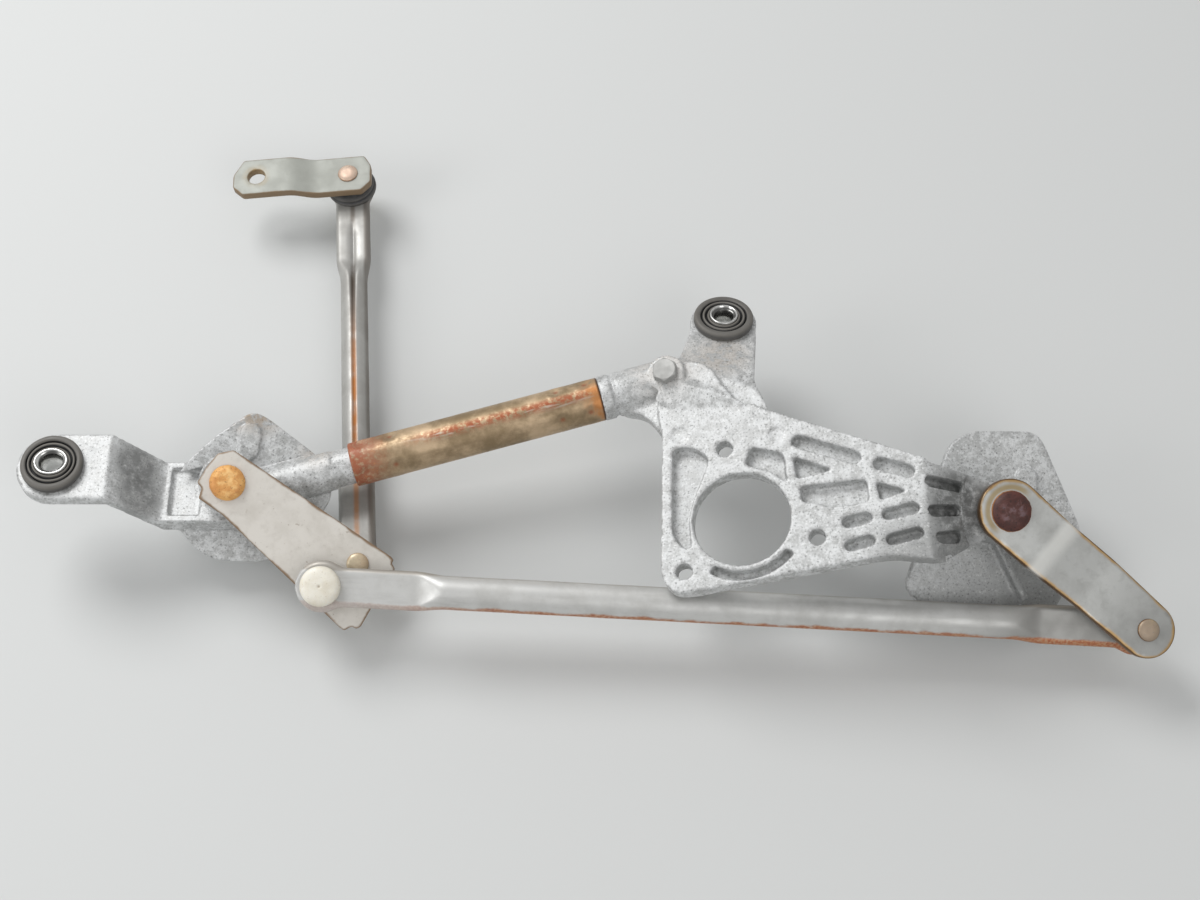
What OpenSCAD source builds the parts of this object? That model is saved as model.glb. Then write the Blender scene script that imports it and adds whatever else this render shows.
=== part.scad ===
// Wiper linkage lying lever side up on its two pivot shafts.
// Millimetres, +Z up from the floor, +X along the linkage, -Y toward the viewer.

/* [Pivots] */
// left pivot: lever face centre, sideways
left_pivot_x = -156.6; // [-166:0.1:-147]
// left pivot: lever face centre, front to back
left_pivot_y = -59.3; // [-64:0.1:-54]
// both pivot axes lean toward the viewer by this angle
pivot_tilt = 26; // [24:0.5:28]
// both pivot axes lean to the right by this angle
pivot_roll = 8; // [6:0.5:10]
// right pivot from the left one, along the linkage plane
right_pivot_x = 330.7; // [324:0.1:338]
// right pivot from the left one, across the linkage plane
right_pivot_y = 7.7; // [5:0.1:10]
// right lever face above the left one, along the pivot axis
right_pivot_z = 61; // [58:0.5:64]
// shaft radius in the bushes
shaft_r = 6; // [5.5:0.1:6.5]
// radius of the threaded shaft end
thread_r = 4; // [3:0.1:4.5]
// length of the threaded shaft end
thread_len = 11; // [8:0.5:13]
// length of the splined seat for the wiper arm
spline_len = 9; // [6:0.5:10]
// number of spline grooves
spline_count = 24; // [16:1:30]
// left shaft end below the lever face
left_shaft_end = 53; // [51:0.5:56]
// radius of the left riveted shaft head
left_head_r = 7.8; // [7:0.1:8.5]
// radius of the right riveted shaft head
right_head_r = 8.8; // [8:0.1:9.5]
// height of the riveted shaft heads
head_h = 3.4; // [2.5:0.1:4]

/* [Bushes and rings] */
// bush wall
bush_wall = 1.5; // [1.2:0.1:1.8]
// bush length
bush_len = 9; // [7:0.5:10]
// thrust washer and lower washer thickness
washer_t = 1.5; // [1.2:0.1:1.8]
// washer outer radius
washer_r = 9.5; // [9:0.1:10]
// retaining ring thickness
ring_t = 1.2; // [1:0.1:1.4]
// retaining ring outer radius
ring_r = 8; // [7.6:0.1:8.4]
// depth of the ring groove in the shaft
ring_groove = 0.7; // [0.5:0.1:0.9]
// width of the gap in the retaining ring
ring_gap = 6; // [4:0.5:7]

/* [Levers] */
// lever plate thickness
lever_t = 4; // [3.5:0.1:4.5]
// left lever: pivot to the long rod ball
left_arm_len = 60.5; // [59:0.1:62]
// left lever: angle of that ball in the linkage plane
left_arm_angle = -44; // [-46:0.5:-42]
// left lever: pivot to the motor rod ball
drive_arm_len = 66.3; // [65:0.1:67.5]
// left lever: angle of that ball in the linkage plane
drive_arm_angle = -28.5; // [-30:0.5:-27]
// right lever: pivot to ball
right_arm_len = 76.5; // [74:0.1:79]
// right lever: angle of its ball in the linkage plane
right_arm_angle = -37.5; // [-40:0.5:-35]
// right lever: radius of the pivot end
right_big_r = 13.3; // [12.5:0.1:14]
// right lever: radius of the ball end
right_small_r = 11.6; // [11:0.1:12.5]
// right lever: start of the joggle from the pivot
joggle_start = 22; // [20:0.5:24]
// right lever: end of the joggle from the pivot
joggle_end = 46; // [42:0.5:50]
// right lever: rise of the ball end
joggle_rise = 5; // [3:0.5:6]

/* [Ball joints] */
// radius of the ball studs
ball_r = 5.5; // [5.3:0.1:5.7]
// radius of the ball on the right lever
right_ball_r = 5; // [4.8:0.1:5.2]
// radius of the stud necks
neck_r = 3.2; // [3:0.1:3.4]
// ball centre to the plate that carries the stud
stud_reach = 9; // [8.8:0.1:9.4]
// radius of the riveted stud heads
stud_head_r = 4.8; // [4.4:0.1:5.2]
// height of the riveted stud heads
stud_head_h = 1.8; // [1.4:0.1:2.2]
// radius of the stud collars
stud_collar_r = 5.2; // [5:0.1:5.6]
// thickness of the stud collars
stud_collar_t = 1; // [0.8:0.1:1.2]
// nylon wall round a ball
socket_wall = 2; // [1.8:0.1:2.2]
// rim of the nylon cap beyond its body
socket_rim = 1.2; // [1:0.1:1.4]
// height of the cap side of a socket above the ball centre
socket_top = 8.2; // [7.8:0.1:8.6]
// play left at the open joint of the loop
open_play = 1.9; // [1.8:0.1:2]

/* [Rods] */
// long rod: tube radius
long_rod_r = 7.3; // [6.9:0.1:7.4]
// long rod: thickness of the flattened ends
long_flat_t = 5; // [4.6:0.1:5.4]
// long rod: width of the flattened ends
long_flat_w = 17; // [15:0.5:18]
// long rod: eye radius
long_eye_r = 11.2; // [11:0.1:12]
// long rod: length of the flattened ends from the eye
long_flat_len = 40; // [36:1:46]
// motor rod: ball to ball
motor_rod_len = 205.4; // [200:0.1:210]
// motor rod: heading from the left lever ball, from +X
motor_rod_heading = 94.2; // [92:0.1:96]
// motor rod: tube radius
motor_rod_r = 6.2; // [5.8:0.1:6.6]
// motor rod: thickness of the flattened ends
motor_flat_t = 4.6; // [4.2:0.1:5]
// motor rod: width of the flattened ends
motor_flat_w = 15; // [13:0.5:16]
// motor rod: eye radius
motor_eye_r = 10.6; // [10.4:0.1:11]
// motor rod: length of the flattened ends from the eye
motor_flat_len = 33; // [28:1:38]
// both rods: length of the change from flat to round
rod_blend = 14; // [10:1:18]
// both rods: sheet thickness
rod_wall = 1.6; // [1.4:0.1:1.9]
// both rods: width of the seam slit
seam_w = 1.2; // [0.8:0.1:1.6]

/* [Crank] */
// ball to motor shaft hole
crank_len = 44.4; // [42:0.1:47]
// heading of the shaft hole from the ball, from +X
crank_heading = 183; // [178:1:188]
// crank dips to the left by this angle
crank_dip = 4; // [2:0.5:5]
// crank plate thickness
crank_t = 4.2; // [3.8:0.1:4.6]
// crank plate width
crank_w = 20.6; // [19:0.2:22]
// rise of the shaft end
crank_rise = 4; // [3:0.5:5]
// radius of the shaft hole
crank_hole_r = 4.2; // [3.8:0.1:4.6]
// radius of the rubber boot
boot_r = 10.8; // [10:0.1:11.4]

/* [Tube] */
// tube outer radius
tube_r = 9.8; // [9.4:0.1:10]
// tube wall
tube_wall = 1.5; // [1.3:0.1:1.7]
// length of the casting spigots in the tube
spigot_len = 30; // [26:1:34]
// depth of the crimp marks
crimp_depth = 0.9; // [0.6:0.1:1]
// ball radius that makes a crimp mark
crimp_ball_r = 4.2; // [3.6:0.1:4.6]
// distance between crimp marks
crimp_pitch = 13; // [11:0.5:14]
// first crimp mark from the tube end
crimp_first = 6; // [5:0.5:7]

/* [Motor frame] */
// motor opening centre, sideways
plate_x = 65.1; // [61:0.1:69]
// motor opening centre, front to back
plate_y = -79.8; // [-83:0.1:-77]
// motor opening centre, height of the upper face
plate_z = 55.5; // [55:0.5:58]
// motor plate leans toward the viewer by this angle
plate_tilt = 5.5; // [4.5:0.5:6.5]
// motor plate rises to the right by this angle
plate_rise = 12; // [11:0.5:13]
// motor plate thickness
plate_t = 7.6; // [7:0.1:7.8]
// web left under the pockets
web_t = 2.5; // [2:0.1:3.5]
// motor opening radius
motor_hole_r = 21; // [20:0.5:21.5]
// motor bolt circle radius
motor_bolt_circle_r = 33.5; // [33:0.5:34]
// motor bolt hole radius
motor_bolt_r = 3.5; // [3:0.1:3.6]
// angle of the first motor bolt
motor_bolt_angle = 100; // [96:1:104]
// right boss radius
boss_r = 13; // [12.5:0.1:13.5]
// height of the right boss
right_boss_h = 36; // [34:0.5:38]
// height of the left boss
left_boss_h = 25; // [24:0.5:27]
// flange plate thickness
flange_t = 4; // [3.5:0.1:4.5]
// left flange face below the lever face
left_flange_z = -18; // [-19:0.5:-17]
// right flange face below the lever face
right_flange_z = -30; // [-31:0.5:-29]
// height of the round cast pads
pad_h = 2; // [1:0.1:2.5]
// width across the flats of the elbow bolt
elbow_bolt_af = 10; // [9:0.5:11]
// height of the elbow bolt head
elbow_bolt_h = 5; // [4:0.5:6]
// thread radius of the elbow bolt
elbow_bolt_r = 3; // [2.5:0.1:3.2]
// thread length of the elbow bolt
elbow_bolt_len = 12; // [10:0.5:14]

/* [Grommets] */
// grommet flange radius
grommet_r = 13.5; // [13:0.1:14]
// radius of the cast eye hole that holds a grommet
eye_hole_r = 10; // [9.5:0.1:10.5]
// metal left round a cast eye
eye_wall = 6; // [5.5:0.1:6.5]
// thickness of a cast eye
eye_t = 6; // [5:0.5:7]
// thickness of one grommet flange
grommet_flange_t = 4; // [3:0.1:5]
// collar outer radius
collar_r = 6.4; // [6:0.1:6.8]
// collar bore radius
collar_bore_r = 4.3; // [4:0.1:4.6]
// length of the oblong slot beyond its width, left collar
slot_extra = 2.4; // [1.5:0.1:3]
// collar stands proud of the grommet by this
collar_proud = 0.8; // [0.4:0.1:1.2]

/* [Hidden] */
$fn = 64;
facet_fn = 32;
arc_steps = 24;
seam_stop = 3;
press_gap = 0.02;
run_gap = 0.06;
axial_gap = 0.1;
eps = 0.05;

left_fall = [cos(pivot_tilt) * sin(pivot_roll), -sin(pivot_tilt), cos(pivot_tilt) * cos(pivot_roll)];
shaft_lean = sqrt(1 - left_fall[2] * left_fall[2]);
left_pivot_z = left_shaft_end * left_fall[2] + thread_r * shaft_lean;
left_pivot = [left_pivot_x, left_pivot_y, left_pivot_z];
right_pivot = [right_pivot_x, right_pivot_y, right_pivot_z];

// turns a point of the linkage plane into the floor frame
function spin_x(p, a) = [p[0], p[1] * cos(a) - p[2] * sin(a), p[1] * sin(a) + p[2] * cos(a)];
function spin_y(p, a) = [p[0] * cos(a) + p[2] * sin(a), p[1], p[2] * cos(a) - p[0] * sin(a)];
function to_floor(p) = left_pivot + spin_y(spin_x(p, pivot_tilt), pivot_roll);
function polar(r, a) = [r * cos(a), r * sin(a), 0];

right_pivot_floor = to_floor(right_pivot);
right_shaft_end = (right_pivot_floor[2] - thread_r * shaft_lean) / left_fall[2];

stack_top = -lever_t - washer_t - axial_gap;
bush_r = shaft_r + run_gap + bush_wall;
bore_r = bush_r + press_gap;
left_boss_bottom = stack_top - left_boss_h;
right_boss_bottom = stack_top - right_boss_h;

left_ball = polar(left_arm_len, left_arm_angle) + [0, 0, stud_reach];
drive_ball = polar(drive_arm_len, drive_arm_angle) - [0, 0, lever_t + stud_reach];
right_ball = right_pivot + polar(right_arm_len, right_arm_angle) + [0, 0, joggle_rise - lever_t - stud_reach];
long_rod_vec = right_ball - left_ball;
long_rod_flat = norm([long_rod_vec[0], long_rod_vec[1]]);
long_rod_len = norm(long_rod_vec);
long_rod_heading = atan2(long_rod_vec[1], long_rod_vec[0]);
long_rod_climb = atan2(long_rod_vec[2], long_rod_flat);
drive_ball_floor = to_floor(drive_ball);
shank_r = neck_r + press_gap;

socket_r = ball_r + socket_wall;
right_socket_r = right_ball_r + open_play + socket_wall - 0.6;
crank_ball = drive_ball_floor + polar(motor_rod_len, motor_rod_heading);

tube_left_offset = [51.7, 17, -15];
tube_right_offset = [-59.8, 65.4, -11];
tube_left = left_pivot + tube_left_offset;
tube_right = [plate_x, plate_y, plate_z] + tube_right_offset;
tube_vec = tube_right - tube_left;
tube_len = norm(tube_vec);
tube_lean = acos(tube_vec[2] / tube_len);
tube_heading = atan2(tube_vec[1], tube_vec[0]);
spigot_r = tube_r - tube_wall - press_gap;
crimp_angles = [60, 150, 240, 330];

left_eye_offset = [-75.8, 6.7, 3];
ear_eye_offset = [-4.1, 103.8, -7];
left_eye = left_pivot + left_eye_offset;
ear_eye = [plate_x, plate_y, plate_z] + ear_eye_offset;
ear_tilt = -15;
eye_r = eye_hole_r + eye_wall;
grommet_h = eye_t + 2 * grommet_flange_t;
collar_h = grommet_h + 2 * collar_proud;
pocket_depth = plate_t - web_t;
hex_spot = [-30, 71.4];
hex_face_z = 2.5;
hex_pad_r = elbow_bolt_af * 0.85;
hex_pad_drop = 3;
hex_seat_r = hex_pad_r + 0.3;

plate_end = 87;
left_flange_line = [[7, 33], [-8.5, 20.4], [-19.1, 9.4], [-29, -7], [-27, -15], [-12.4, -30], [-4, -34],
    [17, -33.5], [33, -25], [45, -3], [43.5, 5], [38, 14.6], [13.5, 31]];
right_flange_line = [[-22, 19], [-18.6, 29.4], [-9, 35.4], [19, 37], [23.5, 33], [43, -5], [38, -30],
    [32, -42], [-28, -42.6], [-36, -35], [-31.6, -20]];
left_lever_line = [[-14.5, -3], [-4, 15], [7, 13], [72, -28.2], [74, -33.5], [64.5, -52.3], [60.5, -60],
    [52.6, -61.8], [-10.5, -10]];
plate_line = [[-33, 44], [-35.8, -24], [-30, -31], [-22, -31], [61.4, -22.3], [76.4, -25.5], [plate_end, -26],
    [plate_end, 16], [75.5, 21.5], [10.5, 51], [2.2, 53.4], [-5.7, 64.1], [-9.4, 71.9], [-16, 77],
    [-27, 77], [-33, 66], [-35, 54]];
gusset_line = [[-20, 40], [-34, 44], [-37.5, 51], [-43, 56], [-53, 58], [-50, 66], [-20, 72]];
gusset_drop = 4;
gusset_t = 8;
elbow_bend_r = 12;
elbow_sweep = 78;
elbow_run = 16;
ear_line = [[-13, 9], [-15.5, -6.8], [-21, -25], [-34, -48], [18.5, -56], [11.8, -40], [14.5, -8], [13, 9]];

pocket_a = [[-28.6, 35.6], [-19, 35.6], [-13, 30], [-24.5, 13], [-26, 2], [-20.5, -9.5], [-26, -9.5], [-30.3, -5]];
pocket_b = [[4.3, 33], [20.8, 31], [20, 14], [13.5, 20.6], [4.6, 24.2]];
pocket_d = [[24, 25], [39, 18.2], [24.8, 16.4]];
pocket_e = [[25.2, 14.6], [55, 11.4], [54.2, 0.8], [34, 1.6], [24.6, 4.6]];
pocket_g = [[58.8, 10.2], [69.4, 5.2], [59.6, 3.6]];
slot_c = [[26, 33.2], [49.4, 23.2]];
slot_f = [[59.6, 20.2], [71.6, 12.6]];
slot_h = [[44, -4.9], [53, -5.8]];
slot_i = [[61, -2.6], [72.8, -3.8]];
slot_j = [[44.4, -15.4], [53.4, -16.2]];
slot_k = [[62, -13.9], [73.4, -15.1]];
wide_slot_r = 2.4;
slim_slot_r = 1.9;
arc_slot_in = motor_hole_r + 2.6;
arc_slot_w = 4;
blind_marks = [[-25.3, 41.6], [17.5, 37.2]];
blind_mark_r = 3.8;
blind_mark_depth = 0.4;
neck_slope = 45;
neck_slot_r = 2.2;
neck_slot_depth = 4;
neck_slots = [[[2, 9], [13, 2.5]], [[2.5, -2], [12, -7.5]], [[3, -15.5], [11, -17.5]]];
outline_soft = 5;
pocket_soft = 2.2;

// part colours
cast_colour = [0.72, 0.73, 0.72];
tube_colour = [0.45, 0.4, 0.28];
steel_colour = [0.66, 0.66, 0.64];
rubber_colour = [0.1, 0.1, 0.1];
nylon_colour = [0.93, 0.91, 0.84];
bronze_colour = [0.6, 0.45, 0.25];
rust_colour = [0.55, 0.32, 0.16];

// places children on the left pivot, z along the shaft
module left_frame() {
    translate(left_pivot) rotate([pivot_tilt, pivot_roll, 0]) children();
}

// places children on the right pivot, z along the shaft
module right_frame() {
    left_frame() translate(right_pivot) children();
}

// places children on the motor plate, z out of the upper face
module plate_frame() {
    translate([plate_x, plate_y, plate_z]) rotate([plate_tilt, -plate_rise, 0]) children();
}

// places children on the tube axis, z toward the motor plate
module tube_frame() {
    translate(tube_left) rotate([0, tube_lean, tube_heading]) children();
}

// places children on the long rod, x toward the right lever
module long_rod_frame() {
    left_frame() translate(left_ball) rotate([0, -long_rod_climb, long_rod_heading]) children();
}

// places children on the motor rod, x toward the crank
module motor_rod_frame() {
    translate(drive_ball_floor) rotate([0, 0, motor_rod_heading]) children();
}

// places children on the crank ball, x toward the shaft hole
module crank_frame() {
    translate(crank_ball) rotate([0, crank_dip, crank_heading]) children();
}

// places children on the ear that carries the middle grommet
module ear_frame() {
    translate(ear_eye) rotate([ear_tilt, 0, 0]) children();
}

// rounds the corners of an outline with short curves
function soft(pts, r) = [for (i = [0 : len(pts) - 1])
    let (p = pts[i], a = pts[(i + len(pts) - 1) % len(pts)], b = pts[(i + 1) % len(pts)],
        pa = p + (a - p) / norm(a - p) * min(r, norm(a - p) * 0.48),
        pb = p + (b - p) / norm(b - p) * min(r, norm(b - p) * 0.48))
    for (k = [0 : 5]) let (t = k / 5) (1 - t) * (1 - t) * pa + 2 * t * (1 - t) * p + t * t * pb];

// points on an arc
function arc(c, r, a, b) = [for (k = [0 : arc_steps]) let (t = a + (b - a) * k / arc_steps) c + [r * cos(t), r * sin(t)]];

// a slab with a softened outline, upper face at z = 0
module slab(line, t, r) {
    translate([0, 0, -t]) linear_extrude(t) polygon(soft(line, r));
}

// a slot between two points
module slot(ends, r) {
    run = ends[1] - ends[0];
    translate(ends[0]) rotate(atan2(run[1], run[0])) {
        circle(r);
        translate([norm(run), 0]) circle(r);
        translate([0, -r]) square([norm(run), 2 * r]);
    }
}

// a ring along z
module ring(r_out, r_in, h) {
    difference() {
        cylinder(h, r_out, r_out);
        translate([0, 0, -eps]) cylinder(h + 2 * eps, r_in, r_in);
    }
}

// a flat dome that a rivet leaves, base at z = 0
module rivet_dome(r, h) {
    big = (r * r + h * h) / (2 * h);
    intersection() {
        translate([0, 0, h - big]) sphere(big, $fn = 96);
        cylinder(h + eps, r, r);
    }
}

// the pivot boss below a lever
module boss(r, h) {
    translate([0, 0, stack_top - h]) cylinder(h, r, r);
}

// the bore through a boss
module boss_bore(h) {
    translate([0, 0, stack_top - h - eps]) cylinder(h + 2 * eps, bore_r, bore_r);
}

// the cast eye that holds a grommet, upper face at z = 0
module eye_hole() {
    translate([0, 0, -eye_t - eps]) cylinder(eye_t + 2 * eps, eye_hole_r, eye_hole_r);
}

// left casting: grommet eye, stepped arm, boss, flange and tube spigot
module left_housing() {
    arm_half = eye_r;
    rim_lap = 3;
    arm_drop = 17;
    arm_front = 11.5;
    arm_back = 18;
    arm_flat = 24;
    step_back = 31;
    stub_back = 50;
    lever_room = boss_r + 20;
    arm_low = left_eye[2] - arm_drop;
    arm_near = left_pivot[1] - arm_front;
    arm_far = left_pivot[1] + arm_back;
    step_left = left_eye[0] + arm_flat;
    step_right = left_pivot[0] - step_back;
    arm_right = left_pivot[0] + rim_lap;
    arm_t = 9;
    rim = 3;
    pocket_left = step_right + rim;
    pocket_right = left_pivot[0] - boss_r - 1;
    tube_neck_r = tube_r * 0.84;
    neck_len = 9;
    color(cast_colour) difference() {
        union() {
            left_frame() boss(boss_r, left_boss_h);
            left_frame() translate([0, 0, left_flange_z]) slab(left_flange_line, flange_t, outline_soft);
            left_frame() translate([0, 0, left_flange_z - eps]) linear_extrude(pad_h + eps) slot([[7, 16], [7.5, 23]], 4.6);
            tube_frame() translate([0, 0, -stub_back]) cylinder(stub_back - neck_len, tube_r * 0.9, tube_r * 0.9);
            tube_frame() translate([0, 0, -neck_len - eps]) cylinder(neck_len + eps, tube_neck_r, tube_neck_r);
            tube_frame() translate([0, 0, -eps]) cylinder(spigot_len, spigot_r, spigot_r);
            translate(left_eye) translate([0, 0, -eye_t]) cylinder(eye_t, eye_r, eye_r);
            translate([left_eye[0], left_eye[1] - arm_half, left_eye[2] - eye_t]) cube([arm_flat, 2 * arm_half, eye_t]);
            hull() {
                translate([step_left - eps, left_eye[1] - arm_half, left_eye[2] - eye_t]) cube([eps, 2 * arm_half, eye_t]);
                translate([step_right, arm_near, arm_low - arm_t]) cube([eps, arm_far - arm_near, arm_t]);
            }
            translate([step_right, arm_near, arm_low - arm_t]) cube([arm_right - step_right, arm_far - arm_near, arm_t]);
        }
        left_frame() boss_bore(left_boss_h);
        translate(left_eye) eye_hole();
        translate([pocket_left, arm_near + rim, arm_low - arm_t + web_t])
            cube([pocket_right - pocket_left, arm_far - arm_near - 2 * rim, arm_t]);
        left_frame() translate([0, 0, stack_top]) cylinder(lever_room, lever_room, lever_room);
    }
}

// steel tube crimped on the spigots of the two castings
module frame_tube() {
    color(tube_colour) tube_frame() difference() {
        cylinder(tube_len, tube_r, tube_r);
        translate([0, 0, -eps]) cylinder(tube_len + 2 * eps, tube_r - tube_wall, tube_r - tube_wall);
        for (a = crimp_angles, s = [crimp_first, crimp_first + crimp_pitch], end = [0, 1])
            rotate([0, 0, a]) translate([tube_r + crimp_ball_r - crimp_depth, 0, end == 0 ? s : tube_len - s])
                sphere(crimp_ball_r, $fn = 48);
    }
}

// pockets, slots and holes of the motor plate
module plate_cuts() {
    translate([0, 0, -pocket_depth]) linear_extrude(pocket_depth + 1) {
        polygon(soft(pocket_a, pocket_soft * 1.6));
        polygon(soft(pocket_b, pocket_soft));
        polygon(soft(pocket_d, pocket_soft * 0.5));
        polygon(soft(pocket_e, pocket_soft));
        polygon(soft(pocket_g, pocket_soft * 0.5));
        slot(slot_c, wide_slot_r);
        slot(slot_f, wide_slot_r);
        slot(slot_h, slim_slot_r);
        slot(slot_i, slim_slot_r);
        slot(slot_j, slim_slot_r);
        slot(slot_k, slim_slot_r);
        intersection() {
            difference() {
                circle(arc_slot_in + arc_slot_w);
                circle(arc_slot_in);
            }
            polygon([[0, 0], [-26, -40], [34, -28]]);
        }
    }
    translate([0, 0, -plate_t - 20]) cylinder(plate_t + 40, motor_hole_r, motor_hole_r);
    for (k = [0 : 2])
        translate(polar(motor_bolt_circle_r, motor_bolt_angle - 120 * k) - [0, 0, plate_t + 1])
            cylinder(plate_t + 2, motor_bolt_r, motor_bolt_r);
    for (m = blind_marks)
        translate([m[0], m[1], -blind_mark_depth]) cylinder(1, blind_mark_r, blind_mark_r);
}

// slots in the sloping neck, z out of its face
module neck_cuts() {
    translate([0, 0, -neck_slot_depth]) linear_extrude(neck_slot_depth + 6)
        for (ends = neck_slots) slot(ends, neck_slot_r);
}

// right casting: elbow, grommet ear, pocketed motor plate, neck, boss and flange
module motor_frame() {
    elbow_len = 31;
    elbow_r = tube_r * 1.03;
    elbow_lap = 1;
    elbow_step = 0.1;
    groove_at = 5;
    groove_w = 2;
    groove_depth = 1;
    neck_near = -24.8;
    neck_far = 15;
    neck_inset = 0.3;
    neck_half = 12.4;
    neck_t = 10;
    rib_w = 3;
    rib_h = 5;
    color(cast_colour) difference() {
        union() {
            plate_frame() slab(plate_line, plate_t, outline_soft);
            tube_frame() translate([0, 0, tube_len - spigot_len]) cylinder(spigot_len + eps, spigot_r, spigot_r);
            tube_frame() translate([0, 0, tube_len]) difference() {
                cylinder(elbow_len, elbow_r, elbow_r);
                translate([0, 0, groove_at]) ring(elbow_r + groove_w, elbow_r - groove_depth, groove_w);
            }
            tube_frame() translate([0, -elbow_bend_r, tube_len + elbow_len - elbow_lap]) rotate([90, 0, 90]) {
                rotate_extrude(angle = elbow_sweep) translate([elbow_bend_r, 0]) circle(elbow_r - elbow_step);
                rotate(elbow_sweep) translate([elbow_bend_r, -elbow_lap, 0]) rotate([-90, 0, 0])
                    cylinder(elbow_run, elbow_r - 2 * elbow_step, elbow_r - 2 * elbow_step);
            }
            plate_frame() translate([0, 0, -gusset_drop]) slab(gusset_line, gusset_t, outline_soft);
            plate_frame() translate([hex_spot[0], hex_spot[1], -plate_t - hex_pad_drop])
                cylinder(plate_t + hex_pad_drop + hex_face_z, hex_pad_r, hex_pad_r);
            ear_frame() slab(ear_line, eye_t, outline_soft);
            ear_frame() translate([0, 0, -eye_t]) cylinder(eye_t, eye_r - 1, eye_r - 1);
            hull() {
                plate_frame() translate([plate_end - 3, neck_near, -plate_t + neck_inset])
                    cube([1, neck_far - neck_near, plate_t - 2 * neck_inset]);
                right_frame() translate([-boss_r + 4, -neck_half, stack_top - neck_t]) cube([1, 2 * neck_half, neck_t - 1]);
            }
            right_frame() boss(boss_r, right_boss_h);
            right_frame() translate([0, 0, right_flange_z]) slab(right_flange_line, flange_t, outline_soft);
            right_frame() translate([0, 0, right_flange_z - eps]) linear_extrude(pad_h + eps) slot([[16.2, 9], [16.2, 16]], 4.8);
            right_frame() translate([2.8, -12, right_flange_z - eps]) rotate(-60) translate([0, -rib_w / 2, 0])
                cube([29, rib_w, rib_h]);
        }
        plate_frame() plate_cuts();
        plate_frame() translate([plate_end - 1, 0, 0]) rotate([0, neck_slope, 0]) neck_cuts();
        right_frame() boss_bore(right_boss_h);
        ear_frame() eye_hole();
        plate_frame() translate([hex_spot[0], hex_spot[1], hex_face_z - elbow_bolt_len - 1])
            cylinder(elbow_bolt_len + 2, elbow_bolt_r + press_gap, elbow_bolt_r + press_gap);
        plate_frame() translate([hex_spot[0], hex_spot[1], hex_face_z]) cylinder(elbow_bolt_h, hex_seat_r, hex_seat_r);
        right_frame() translate([0, 0, stack_top]) cylinder(30, boss_r + 9, boss_r + 9);
    }
}

// rubber grommet in a cast eye, upper eye face at z = 0
module grommet() {
    color(rubber_colour) difference() {
        union() {
            cylinder(grommet_flange_t, grommet_r, grommet_r);
            translate([0, 0, -eye_t]) cylinder(eye_t, eye_hole_r - press_gap, eye_hole_r - press_gap);
            translate([0, 0, -eye_t - grommet_flange_t]) cylinder(grommet_flange_t, grommet_r, grommet_r);
        }
        translate([0, 0, -eye_t - grommet_flange_t - eps]) cylinder(grommet_h + 2 * eps, collar_r + press_gap, collar_r + press_gap);
    }
}

module left_grommet() {
    translate(left_eye) grommet();
}

module mid_grommet() {
    ear_frame() grommet();
}

// steel collar in a grommet, with a bore that may be oblong
module collar(extra) {
    color(steel_colour) translate([0, 0, -eye_t - grommet_flange_t - collar_proud]) difference() {
        cylinder(collar_h, collar_r, collar_r);
        translate([0, 0, -eps]) linear_extrude(collar_h + 2 * eps)
            slot([[-extra / 2, 0], [extra / 2, 0]], collar_bore_r - extra / 4);
    }
}

module left_collar() {
    translate(left_eye) collar(slot_extra);
}

module mid_collar() {
    ear_frame() color(steel_colour) translate([0, 0, -eye_t - grommet_flange_t - collar_proud])
        ring(collar_r, collar_bore_r, collar_h);
}

// plain bush pressed in a boss, upper face at z = 0
module bush() {
    color(bronze_colour) translate([0, 0, -bush_len]) ring(bush_r, shaft_r + run_gap, bush_len);
}

module left_upper_bush() {
    left_frame() translate([0, 0, stack_top]) bush();
}

module left_lower_bush() {
    left_frame() translate([0, 0, left_boss_bottom + bush_len]) bush();
}

module right_upper_bush() {
    right_frame() translate([0, 0, stack_top]) bush();
}

module right_lower_bush() {
    right_frame() translate([0, 0, right_boss_bottom + bush_len]) bush();
}

// hex bolt that closes the elbow
module elbow_bolt() {
    color(steel_colour) plate_frame() translate([hex_spot[0], hex_spot[1], hex_face_z]) {
        cylinder(elbow_bolt_h, elbow_bolt_af / sqrt(3), elbow_bolt_af / sqrt(3), $fn = 6);
        translate([0, 0, -elbow_bolt_len]) cylinder(elbow_bolt_len + eps, elbow_bolt_r, elbow_bolt_r);
    }
}

// pivot shaft with riveted head, ring groove, splined seat and threaded end
module shaft(end, boss_bottom, head_r) {
    groove_z = boss_bottom - axial_gap - washer_t - ring_t;
    seat_top = -end + thread_len + spline_len;
    spline_r = shaft_r * 0.92;
    tooth = 0.9;
    color(steel_colour) difference() {
        union() {
            rivet_dome(head_r, head_h);
            translate([0, 0, seat_top]) cylinder(-seat_top + eps, shaft_r, shaft_r);
            translate([0, 0, -end + thread_len]) cylinder(spline_len + eps, spline_r, spline_r);
            translate([0, 0, -end]) cylinder(thread_len + eps, thread_r, thread_r);
        }
        translate([0, 0, groove_z]) ring(shaft_r + 1, shaft_r - ring_groove, ring_t);
        for (k = [0 : spline_count - 1])
            rotate(k * 360 / spline_count) translate([spline_r, 0, -end + thread_len - eps]) rotate(45)
                translate([-tooth / 2, -tooth / 2, 0]) cube([tooth, tooth, spline_len - 1]);
    }
}

module left_shaft() {
    left_frame() shaft(left_shaft_end, left_boss_bottom, left_head_r);
}

module right_shaft() {
    right_frame() shaft(right_shaft_end, right_boss_bottom, right_head_r);
}

// washer between lever and boss
module thrust_washer() {
    color(steel_colour) translate([0, 0, -lever_t - washer_t]) ring(washer_r, shaft_r + run_gap, washer_t);
}

module left_thrust_washer() {
    left_frame() thrust_washer();
}

module right_thrust_washer() {
    right_frame() thrust_washer();
}

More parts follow.
